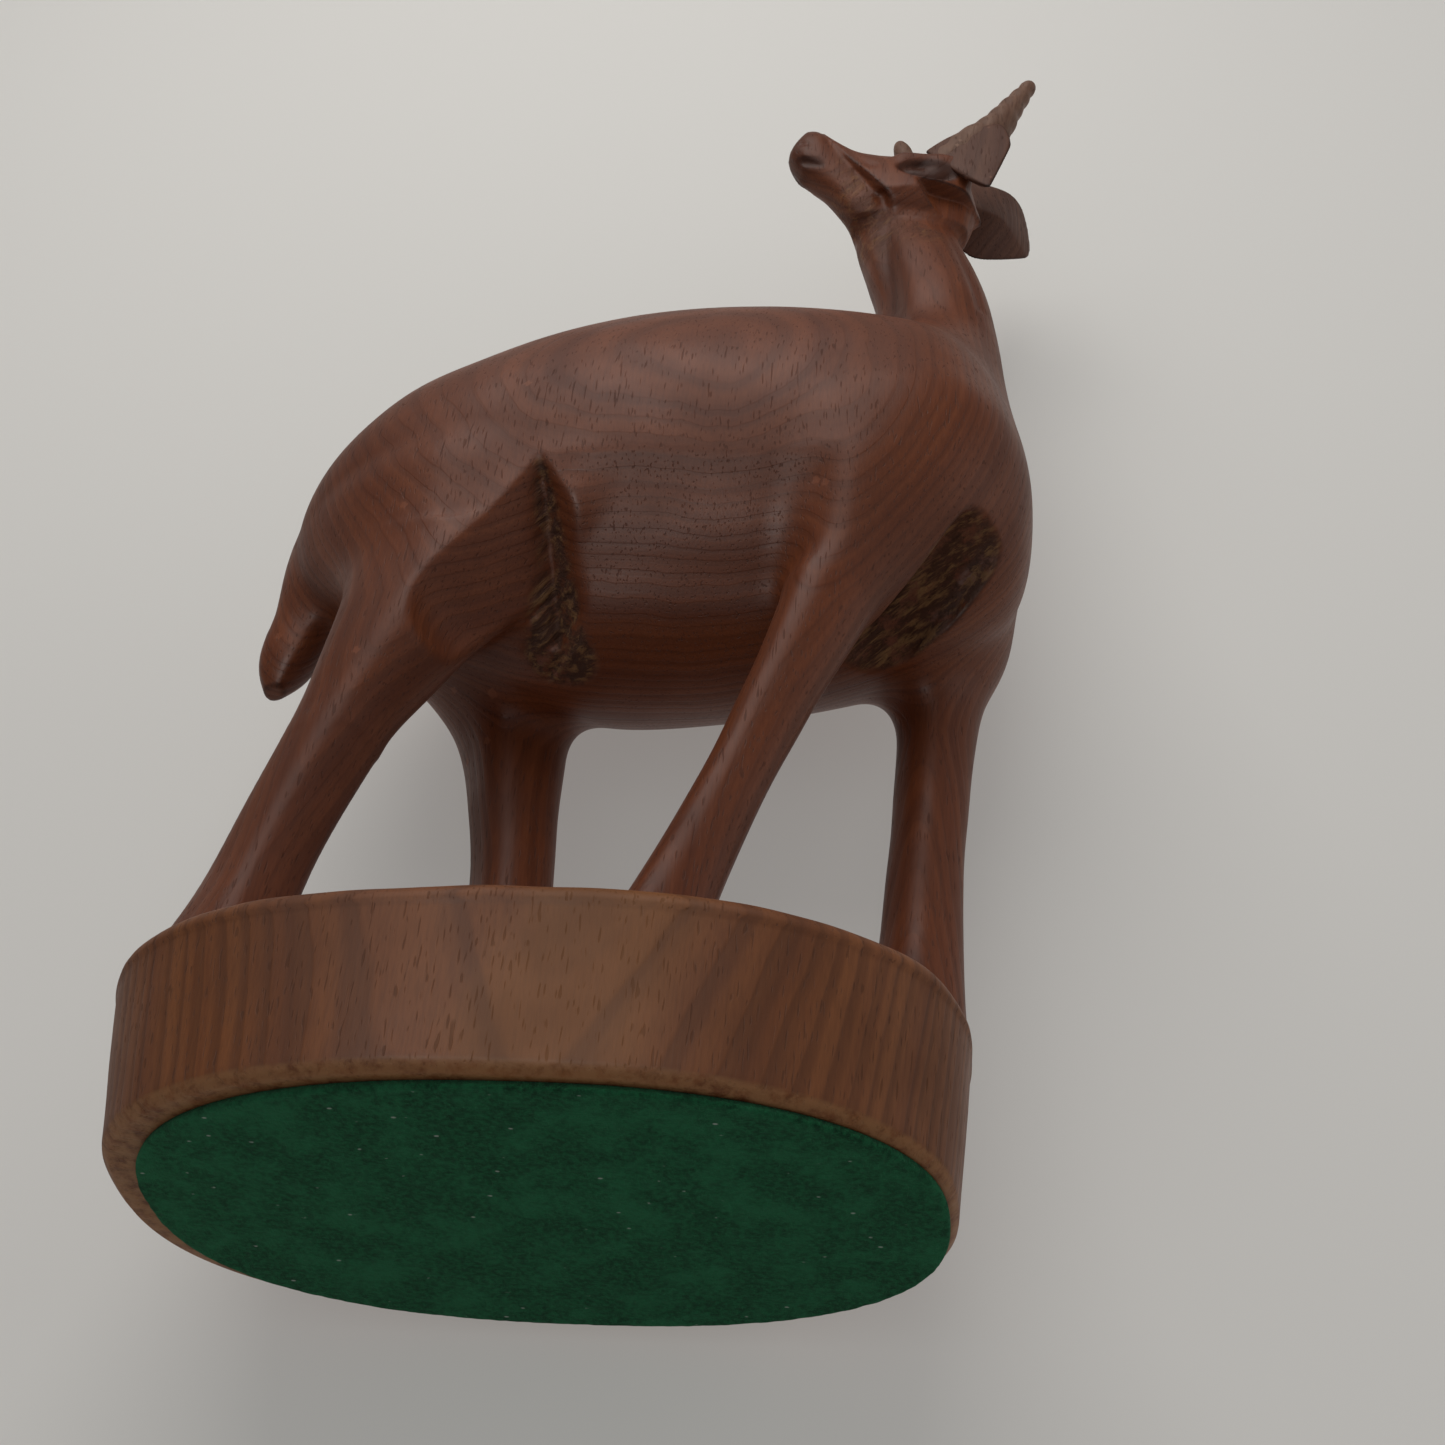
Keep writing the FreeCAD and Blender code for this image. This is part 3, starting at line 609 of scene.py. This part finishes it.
def build_horn(name, rows):
    """Round tapering bar along a smooth curve, with shallow wavy rings."""
    gaps = [math.dist(a[:3], b[:3]) for a, b in zip(rows, rows[1:])]
    rows = [(sum(gaps[:n]), *row) for n, row in enumerate(rows)]
    length = rows[-1][0]
    steps = np.linspace(0, length, 40)
    centres = np.array([head(*[float(curve(s, rows, c)) for c in (1, 2, 3)]) for s in steps])
    radii = [float(curve(s, rows, 4)) * MM for s in steps]
    ring_height, ring_gap = 0.16 * MM, 4.2
    rings = [ring_height * math.sin(2 * math.pi * s / ring_gap + 0.8 * math.sin(s / 5)) for s in steps]
    margin = 6 * MM
    low, high = centres.min(0) - margin, centres.max(0) + margin
    field = Field(low, high, FINE)
    for n in range(len(steps) - 1):
        bar = rod(centres[n], centres[n + 1], radii[n] + rings[n], radii[n + 1] + rings[n + 1])
        field.add(*widen(bar, 2 * MM), 0.4 * MM)
    return field.mesh(name)


# ------------------------------------------------------------------ plinth and felt
OVAL_POWER = 2.38


def oval(angle, half_length, half_width):
    """Point of the oval in the direction angle."""
    along = (abs(math.cos(angle)) / half_length)**OVAL_POWER
    across = (abs(math.sin(angle)) / half_width)**OVAL_POWER
    reach = (along + across) ** (-1 / OVAL_POWER)
    return reach * math.cos(angle), reach * math.sin(angle)


def oval_plate(name, half_length, half_width, profile, cap_step, spin, ripple):
    """Closed plate; profile rows are (how far outside the oval, height), from the bottom up.

    The caps are rings that shrink to the middle, cap_step apart. spin is the number of points round
    each ring. ripple moves each point."""
    shrink = [1 - cap_step * n / half_width for n in range(int(half_width / cap_step))]
    rings = [(share, *profile[0]) for share in reversed(shrink[1:])]
    rings += [(1.0, out, level) for out, level in profile]
    rings += [(share, *profile[-1]) for share in shrink[1:]]
    shell = bmesh.new()
    loops = []
    for share, out, level in rings:
        loop = []
        for n in range(spin):
            x, y = oval(2 * math.pi * n / spin, half_length + out, half_width + out)
            loop.append(shell.verts.new(ripple(Vector((x * share, y * share, level)))))
        loops.append(loop)
    for lower, upper in zip(loops, loops[1:]):
        for n in range(spin):
            shell.faces.new((lower[n], lower[(n + 1) % spin], upper[(n + 1) % spin], upper[n]))
    for loop, turned in ((loops[0], True), (loops[-1], False)):
        middle = shell.verts.new(sum((v.co for v in loop), Vector()) / spin)
        for n in range(spin):
            pair = (loop[n], loop[(n + 1) % spin])
            shell.faces.new((*reversed(pair), middle) if turned else (*pair, middle))
    bmesh.ops.recalc_face_normals(shell, faces=shell.faces[:])
    mesh = bpy.data.meshes.new(name)
    shell.to_mesh(mesh)
    shell.free()
    mesh.polygons.foreach_set("use_smooth", np.ones(len(mesh.polygons), bool))
    piece = bpy.data.objects.new(name, mesh)
    bpy.context.scene.collection.objects.link(piece)
    return piece


def round_corner(outer, level, radius, steps=6):
    """Profile points of the quarter round between a wall and the cap above it."""
    points = []
    for n in range(steps + 1):
        angle = math.pi / 2 * n / steps
        points.append((outer - radius * (1 - math.cos(angle)), level - radius * (1 - math.sin(angle))))
    return points


def outward(point):
    """Level direction that leads out of the oval, roughly square to its rim."""
    return Vector((point.x, point.y * 2.2, 0)).normalized()


def build_plinth():
    """Oval plinth, a little uneven, that flares upwards and leans out at the tail's end."""
    bevel, rounding = 1.0 * MM, 3.0 * MM
    height = DECK - UNDERSIDE
    profile = [(-bevel, UNDERSIDE), (0.0, UNDERSIDE + bevel)]
    steps = 36
    for n in range(1, steps):
        level = UNDERSIDE + bevel + (height - bevel - rounding) * n / steps
        profile.append((FLARE * (level - UNDERSIDE) / height, level))
    profile += round_corner(FLARE, DECK, rounding)

    def ripple(point):
        broad = noise.noise(point * 45) + 0.5 * noise.noise(point * 110)
        rim = smooth_step(DECK - 6 * MM, DECK, point.z)
        lean = 3.0 * MM * smooth_step(0.1 * HALF, -1.0 * HALF, point.x) * (point.z - UNDERSIDE) / height
        return point + outward(point) * (0.22 + 0.45 * rim) * MM * broad - Vector((lean, 0, 0))
    return oval_plate("plinth_turned", HALF, HALF_WIDE, profile,
                      cap_step=0.9 * MM, spin=420, ripple=ripple)


def mark(piece, name, measure):
    """Stores measure(x, y, z) at every point of the piece, for its material."""
    count = len(piece.data.vertices)
    points = np.empty(count * 3, np.float32)
    piece.data.vertices.foreach_get("co", points)
    x, y, z = points.reshape(-1, 3).T
    layer = piece.data.attributes.new(name, "FLOAT", "POINT")
    layer.data.foreach_set("value", measure(x, y, z).astype(np.float32))


def build_felt():
    """Oval felt sheet whose underside is fluffy and not quite flat."""
    half_length = (felt_high.x - felt_low.x) / 2
    half_width = (felt_high.y - felt_low.y) / 2
    middle = (felt_low + felt_high) / 2
    bottom, top = felt_low.z, felt_high.z
    edge = 0.5 * MM
    profile = [
        (-edge, bottom), (-0.3 * edge, bottom + 0.25 * edge), (0, bottom + edge),
        (0, (bottom + top) / 2), (-0.2 * edge, top),
    ]

    def ripple(point):
        fuzz = noise.noise(point * 900)
        under = 1 - smooth_step(bottom, bottom + 0.6 * MM, point.z)
        lift = 0.05 * MM * (noise.noise(point * 500) + 1) + 0.04 * MM * (noise.noise(point * 90) + 1)
        rim = outward(point) * 0.18 * MM * fuzz
        return point + rim * under + Vector((middle.x, 0, lift * under))
    return oval_plate("felt_sheet", half_length, half_width, profile,
                      cap_step=0.45 * MM, spin=560, ripple=ripple)


figure = build_figure()
mark(figure, "raw", raw_wood)
# painted shade: the face's recesses and the neck's groove, darkened in colour
mark(figure, "painted_shade", painted_shade)
left_ear = build_ear("left_ear_carved", LEFT_EAR)
right_ear = build_ear("right_ear_carved", RIGHT_EAR)
left_horn = build_horn("left_horn_carved", LEFT_HORN)
right_horn = build_horn("right_horn_carved", RIGHT_HORN)
plinth = build_plinth()
felt = build_felt()
PIECES = (
    # piece, the node it stands for, its material slot
    (figure, "figure", "figure_wood"), (plinth, "plinth", "plinth_wood"),
    (left_ear, "left_ear", "ear_wood"), (right_ear, "right_ear", "ear_wood"),
    (left_horn, "left_horn", "horn_wood"), (right_horn, "right_horn", "horn_wood"),
    (felt, "felt_pad", "felt"),
)
for piece, node_name, slot in PIECES:
    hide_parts(node_name)
    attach(piece, "root")


# ------------------------------------------------------------------ materials
class Shader:
    """Small helper that adds nodes to one material and links them."""

    def __init__(self, name):
        self.material = bpy.data.materials.new(name)
        self.material.use_nodes = True
        self.tree = self.material.node_tree
        self.surface = self.tree.nodes["Principled BSDF"]

    def node(self, kind, inputs=None, **settings):
        made = self.tree.nodes.new(kind)
        for key, value in settings.items():
            setattr(made, key, value)
        for key, value in (inputs or {}).items():
            self.feed(made.inputs[key], value)
        return made

    def feed(self, socket, value):
        if isinstance(value, bpy.types.NodeSocket):
            self.tree.links.new(value, socket)
        else:
            socket.default_value = value

    def math(self, operation, a, b=0.0, c=0.0):
        return self.node("ShaderNodeMath", {0: a, 1: b, 2: c}, operation=operation).outputs[0]

    def millimetres(self):
        """The point's place on the object, in millimetres."""
        place = self.node("ShaderNodeTexCoord").outputs["Object"]
        return self.node("ShaderNodeVectorMath", {0: place, 3: 1000.0}, operation="SCALE").outputs[0]

    def stretch(self, vector, factors):
        return self.node("ShaderNodeVectorMath", {0: vector, 1: factors}, operation="MULTIPLY").outputs[0]

    def noise(self, vector, scale, detail=3.0, rough=0.55):
        inputs = {"Vector": vector, "Scale": scale, "Detail": detail, "Roughness": rough}
        return self.node("ShaderNodeTexNoise", inputs).outputs["Fac"]

    def dot(self, vector, direction):
        made = self.node("ShaderNodeVectorMath", {0: vector, 1: direction}, operation="DOT_PRODUCT")
        return made.outputs["Value"]

    def remap(self, value, low, high, to_low=0.0, to_high=1.0):
        made = self.node("ShaderNodeMapRange", {0: value, 1: low, 2: high, 3: to_low, 4: to_high},
                         interpolation_type="SMOOTHSTEP")
        return made.outputs[0]

    def mix(self, share, a, b):
        return self.node("ShaderNodeMix", {0: share, 6: a, 7: b}, data_type="RGBA").outputs[2]

    def bump(self, height, distance, strength=1.0, below=None):
        inputs = {"Height": height, "Distance": distance, "Strength": strength}
        if below is not None:
            inputs["Normal"] = below
        return self.node("ShaderNodeBump", inputs).outputs[0]

    def finish(self, colour, roughness, normal, **extra):
        self.feed(self.surface.inputs["Base Color"], colour)
        self.feed(self.surface.inputs["Roughness"], roughness)
        self.feed(self.surface.inputs["Normal"], normal)
        for key, value in extra.items():
            self.feed(self.surface.inputs[key.replace("_", " ")], value)
        return self.material


def colour(red, green, blue):
    return (red, green, blue, 1.0)


def ring_phase(s, place, ring_gap, tilt):
    """Growth rings bent round the flank: a slow change from ring to ring, and each ring's dark late wood."""
    axes = s.node("ShaderNodeSeparateXYZ", {0: place}).outputs
    # the rings lean over the body's height only, and bend round the barrel's middle
    sway = s.noise(s.stretch(place, (1.0, 1.0, 0.45)), 0.020, 1.0)
    waver = s.noise(s.stretch(place, (1.0, 1.0, 0.18)), 0.13, 2.0)
    height = s.math("MINIMUM", s.math("MAXIMUM", axes[2], 88.0), 172.0)
    beside = s.math("SUBTRACT", axes[0], 5.0)
    across = s.math("MULTIPLY_ADD", height, tilt, s.math("MULTIPLY", axes[1], -1.0))
    across = s.math("MULTIPLY_ADD", s.math("MULTIPLY", beside, beside), -0.0035, across)
    across = s.math("MULTIPLY_ADD", sway, 14.0, across)
    across = s.math("MULTIPLY_ADD", waver, 1.3, across)
    turns = s.math("DIVIDE", across, ring_gap)
    band = s.noise(s.node("ShaderNodeCombineXYZ", {0: turns}).outputs[0], 0.45, 4.0, 0.65)
    phase = s.math("FRACT", s.math("MULTIPLY_ADD", band, 2.2, turns))
    late = s.math("MULTIPLY", s.remap(phase, 0.30, 0.86), s.remap(phase, 1.0, 0.88))
    return band, late


def unpolished(s, place, mask, tone, polish, normal):
    """Torn fibres: golden strands on dark wood, along the strokes of the chisel."""
    strands = s.node("ShaderNodeCombineXYZ", {
        0: s.dot(place, (0.70, 0.42, -0.58)),
        1: s.dot(place, (0.0, 1.0, 0.2)),
        2: s.dot(place, (0.09, 0.01, 0.12)),
    }).outputs[0]
    splinter = s.noise(strands, 0.75, 3.0, 0.7)
    straw = s.mix(s.remap(splinter, 0.46, 0.66), colour(0.040, 0.015, 7 * MM), colour(0.190, 0.098, 0.038))
    share = s.math("MULTIPLY", mask, s.remap(s.noise(place, 0.30, 4.0, 0.7), 0.32, 0.52))
    tone = s.mix(s.math("MULTIPLY", share, 0.85), tone, straw)
    polish = s.math("MULTIPLY_ADD", share, 0.35, polish)
    return tone, polish, s.bump(splinter, 0.6 * MM, share, normal)


def wood(name, pale, deep, dark, ring_gap, gloss, tilt, carved=False, streak=None, rim=None):
    """Oiled hardwood: growth rings, long pores, hollows darkened as painted shade, edges lightened as wear
    and painted highlight.

    pale, deep and dark are the three colours of the wood. ring_gap is in millimetres. gloss is the
    roughness of the polish. tilt leans the ring planes on the barrel of the body. A carved piece has
    the point attributes "raw", 1 where it is unpolished, and "painted_shade", 1 where shade is painted in.
    streak is the colour of a broad paler band, rim that of the rubbed edge just above the felt."""
    s = Shader(name)
    place = s.millimetres()
    band, late = ring_phase(s, place, ring_gap, tilt)
    fibre = s.noise(s.stretch(place, (1.0, 1.0, 0.07)), 2.4, 2.0, 0.7)
    pore = s.remap(s.noise(s.stretch(place, (1.0, 1.0, 0.11)), 3.1, 0.0), 0.66, 0.78)
    cloud = s.noise(place, 0.045, 3.0, 0.6)
    tone = s.mix(s.remap(band, 0.34, 0.66), colour(*pale), colour(*deep))
    tone = s.mix(s.math("MULTIPLY", late, 0.30), tone, colour(*dark))
    tone = s.mix(s.remap(fibre, 0.35, 0.75, 0.0, 0.30), tone, colour(*dark))
    tone = s.mix(s.math("MULTIPLY", pore, 0.40), tone, colour(*[0.5 * c for c in dark]))
    if streak is not None:
        where = s.dot(place, (1.0, 0.0, -0.35))
        wander = s.noise(s.stretch(place, (1.0, 1.0, 0.5)), 0.05, 3.0)
        where = s.math("MULTIPLY_ADD", wander, 26.0, where)
        share = s.math("MULTIPLY", s.remap(where, 0.0, 16.0), s.remap(where, 36.0, 20.0))
        tone = s.mix(s.math("MULTIPLY", share, 0.38), tone, colour(*streak))
        tone = s.mix(s.math("MULTIPLY", late, 0.25), tone, colour(*dark))
    tone = s.mix(s.remap(cloud, 0.35, 0.70, 0.0, 0.30), tone, colour(*dark))
    if rim is not None:
        level = s.dot(place, (0.0, 0.0, 1.0))
        bottom = UNDERSIDE / MM
        patches = s.remap(s.noise(place, 0.5, 4.0, 0.7), 0.30, 0.60)
        rubbed = s.math("MULTIPLY", s.remap(level, bottom + 1.7, bottom + 0.7), patches)
        tone = s.mix(s.math("MULTIPLY", rubbed, 0.75), tone, colour(*rim))
    # 0.5 where the surface is flat, more on edges, less in hollows
    edges = s.node("ShaderNodeNewGeometry").outputs["Pointiness"]
    wear_and_highlight = s.remap(edges, 0.515, 0.58, 0.0, 0.45)
    hollow = s.remap(edges, 0.492, 0.43, 0.0, 0.80)
    # wear and painted highlight: convex edges are lightened towards a paler wood
    tone = s.mix(wear_and_highlight, tone, colour(*[1.35 * c + 0.01 for c in pale]))
    # painted shade: hollows and crevices are darkened
    tone = s.mix(hollow, tone, colour(*[0.35 * c for c in dark]))
    polish = s.math("MULTIPLY_ADD", pore, 0.15, s.remap(cloud, 0.3, 0.7, gloss - 0.05, gloss + 0.08))
    relief = s.math("MULTIPLY_ADD", late, -0.35, s.math("MULTIPLY", fibre, 0.35))
    relief = s.math("MULTIPLY_ADD", pore, -0.5, relief)
    normal = s.bump(relief, 0.06 * MM)
    if carved:
        # painted shade: eyes, mouth, nose tip and neck groove darkened in colour
        painted_shade_share = s.node("ShaderNodeAttribute", attribute_name="painted_shade").outputs["Fac"]
        tone = s.mix(s.math("MULTIPLY", painted_shade_share, 0.72), tone, colour(*[0.45 * c for c in dark]))
        raw = s.node("ShaderNodeAttribute", attribute_name="raw").outputs["Fac"]
        tone, polish, normal = unpolished(s, place, raw, tone, polish, normal)
    return s.finish(tone, polish, normal, Specular_IOR_Level=0.22)


def felt_cloth():
    """Dark green pressed felt: short matted fibres, cloudy wear and a little pale lint."""
    s = Shader("green_felt")
    place = s.millimetres()
    cloud = s.noise(place, 0.10, 4.0, 0.65)
    clump = s.noise(place, 1.1, 4.0, 0.75)
    fibre_a = s.noise(s.stretch(place, (0.35, 3.0, 1.0)), 2.0, 3.0, 0.8)
    fibre_b = s.noise(s.stretch(place, (3.0, 0.35, 1.0)), 2.0, 3.0, 0.8)
    fibre = s.math("MAXIMUM", fibre_a, fibre_b)
    tone = s.mix(s.remap(clump, 0.36, 0.64), colour(0.003, 0.036, 0.013), colour(0.012, 0.125, 0.047))
    tone = s.mix(s.remap(cloud, 0.42, 0.66, 0.0, 0.60), tone, colour(0.022, 0.180, 0.074))
    tone = s.mix(s.remap(fibre, 0.56, 0.78, 0.0, 0.55), tone, colour(0.055, 0.240, 0.110))
    flat = s.stretch(place, (1.0, 1.6, 1.0))
    cells = s.node("ShaderNodeTexVoronoi", {"Vector": flat, "Scale": 0.26}).outputs["Distance"]
    lint = s.math("MULTIPLY", s.remap(cells, 0.11, 0.05), s.remap(s.noise(place, 0.7, 3.0), 0.47, 0.58))
    tone = s.mix(s.math("MULTIPLY", lint, 0.75), tone, colour(0.55, 0.60, 0.54))
    height = s.math("ADD", s.math("MULTIPLY", clump, 1.1), fibre)
    normal = s.bump(height, 0.5 * MM)
    return s.finish(tone, 0.95, normal, Specular_IOR_Level=0.08, Sheen_Weight=0.12, Sheen_Roughness=0.6,
                    Sheen_Tint=colour(0.30, 0.75, 0.50))


def dried_glue():
    """Thin yellowish glue line with dust in it."""
    s = Shader("dried_glue")
    place = s.millimetres()
    cloud = s.noise(place, 0.6, 4.0, 0.7)
    tone = s.mix(s.remap(cloud, 0.35, 0.65), colour(0.22, 0.15, 0.07), colour(0.42, 0.33, 0.19))
    normal = s.bump(s.noise(place, 1.5, 4.0), 0.2 * MM)
    return s.finish(tone, s.remap(cloud, 0.3, 0.7, 0.35, 0.6), normal)


figure_wood = wood(
    "figure_wood", pale=(0.176, 0.050, 0.018), deep=(0.122, 0.031, 0.0105), dark=(0.050, 0.012, 0.0042),
    ring_gap=1.7, gloss=0.46, tilt=0.24, carved=True)
plinth_wood = wood(
    "plinth_wood", pale=(0.225, 0.077, 0.023), deep=(0.160, 0.049, 0.0145), dark=(0.067, 0.020, 0.006),
    ring_gap=2.4, gloss=0.52, tilt=0.10, streak=(0.270, 0.110, 0.026), rim=(0.300, 0.150, 0.062))
ear_wood = wood(
    "ear_wood", pale=(0.130, 0.055, 0.032), deep=(0.088, 0.032, 0.018), dark=(0.040, 0.013, 0.007),
    ring_gap=1.8, gloss=0.52, tilt=0.3)
horn_wood = wood(
    "horn_wood", pale=(0.220, 0.125, 0.085), deep=(0.140, 0.070, 0.045), dark=(0.065, 0.028, 0.017),
    ring_gap=1.8, gloss=0.54, tilt=0.3)
green_felt = felt_cloth()
FINISHES = {"figure_wood": figure_wood, "plinth_wood": plinth_wood, "ear_wood": ear_wood,
            "horn_wood": horn_wood, "felt": green_felt}
for piece, node_name, slot in PIECES:
    piece.data.materials.append(FINISHES[slot])
glue = dried_glue()
film = bpy.data.objects["adhesive_film"]
film.data.materials.clear()
film.data.materials.append(glue)

# ------------------------------------------------------------------ stage, light and camera
def paper(name):
    """Pale matt paper that is seen from its front only."""
    s = Shader(name)
    geometry = s.node("ShaderNodeNewGeometry").outputs
    s.finish(colour(0.45, 0.44, 0.42), 0.9, geometry["Normal"], Specular_IOR_Level=0.1,
             Emission_Color=colour(0.97, 0.95, 0.91), Emission_Strength=0.22)
    behind = geometry["Backfacing"]
    clear = s.node("ShaderNodeBsdfTransparent").outputs[0]
    joined = s.node("ShaderNodeMixShader", {0: behind, 1: s.surface.outputs[0], 2: clear}).outputs[0]
    s.feed(s.tree.nodes["Material Output"].inputs["Surface"], joined)
    return s.material


def sheet(name, centre, right, up, half_size, material):
    """Flat square of paper; its front faces along right x up. Lamps shine through it."""
    centre, right, up = Vector(centre), Vector(right), Vector(up)
    corners = [centre + half_size * (a * right + b * up) for a, b in ((-1, -1), (1, -1), (1, 1), (-1, 1))]
    mesh = bpy.data.meshes.new(name)
    mesh.from_pydata([corner[:] for corner in corners], [], [(0, 1, 2, 3)])
    mesh.materials.append(material)
    made = bpy.data.objects.new(name, mesh)
    bpy.context.scene.collection.objects.link(made)
    made.visible_shadow = False
    return made


white_paper = paper("white_paper")
SHEET = 3.0                                   # half the side of each sheet, in metres
# The statue stands on the floor. The main camera looks up at it, so an upright sheet fills the view behind.
floor = sheet("floor", (0, 0, -0.5 * MM), (1, 0, 0), (0, 1, 0), SHEET, white_paper)
floor.visible_diffuse = False
floor.visible_glossy = False
# it clears the plinth's uneven far side
sheet("backdrop", (0, plinth_high.y + 1.5 * MM, 0), (1, 0, 0), (0, 0, 1), SHEET, white_paper)

world = bpy.data.worlds.new("studio")
bpy.context.scene.world = world
world.use_nodes = True
background = world.node_tree.nodes["Background"]
background.inputs["Color"].default_value = colour(0.86, 0.86, 0.88)
# dim as a lamp, pale where the camera sees it beyond the sheets
seen = world.node_tree.nodes.new("ShaderNodeLightPath").outputs["Is Camera Ray"]
strength = world.node_tree.nodes.new("ShaderNodeMath")
strength.operation = "MULTIPLY_ADD"
strength.inputs[1].default_value = 0.35
strength.inputs[2].default_value = 0.20
world.node_tree.links.new(seen, strength.inputs[0])
world.node_tree.links.new(strength.outputs[0], background.inputs["Strength"])


def softbox(name, place, aim, size, power, tint):
    """Square soft lamp that looks from place to aim."""
    lamp = bpy.data.lights.new(name, "AREA")
    lamp.size = size
    lamp.energy = power
    lamp.color = tint
    made = bpy.data.objects.new(name, lamp)
    bpy.context.scene.collection.objects.link(made)
    made.location = Vector(place)
    made.rotation_euler = (Vector(aim) - Vector(place)).to_track_quat("-Z", "Y").to_euler()
    return made


BODY = at(0.1, 0, 2.2)
softbox("window", at(-1.0, -6.3, 7.6), BODY, 0.42, 1.60, (1.0, 0.985, 0.955))
softbox("side", at(9.0, -3.0, 3.0), BODY, 0.40, 0.35, (1.0, 0.99, 0.98))
softbox("low_fill", at(-1.5, -9.0, -5.0), at(0, 0, 0.5), 0.60, 0.45, (1.0, 0.99, 0.97))
softbox("back_fill", at(1.0, 9.0, 6.0), BODY, 0.60, 1.6, (1.0, 0.99, 0.98))
# gives only the soft glints on the polished belly
glint = softbox("glint", at(-1.2, -6.4, 0.3), at(-0.05, -0.5, 1.95), 0.10, 0.55, (1.0, 0.985, 0.96))
glint.visible_diffuse = False

camera = bpy.data.objects.new("camera", bpy.data.cameras.new("camera"))
bpy.context.scene.collection.objects.link(camera)
bpy.context.scene.camera = camera
bpy.context.scene.view_settings.view_transform = "Standard"
camera.data.lens = 49.8
camera.data.sensor_width = 36.0
camera.data.clip_start = 0.01
camera.location = at(0.978, -4.214, -2.12)
TURN, PITCH, ROLL = (math.radians(a) for a in (-8.55, -40.31, 5.74))
looking = (Matrix.Rotation(ROLL, 3, "Z") @ Matrix.Rotation(PITCH, 3, "X")
           @ Matrix(((1, 0, 0), (0, 0, -1), (0, 1, 0))) @ Matrix.Rotation(TURN, 3, "Z"))
camera.rotation_euler = (looking.transposed() @ Matrix(((1, 0, 0), (0, -1, 0), (0, 0, -1)))).to_euler()
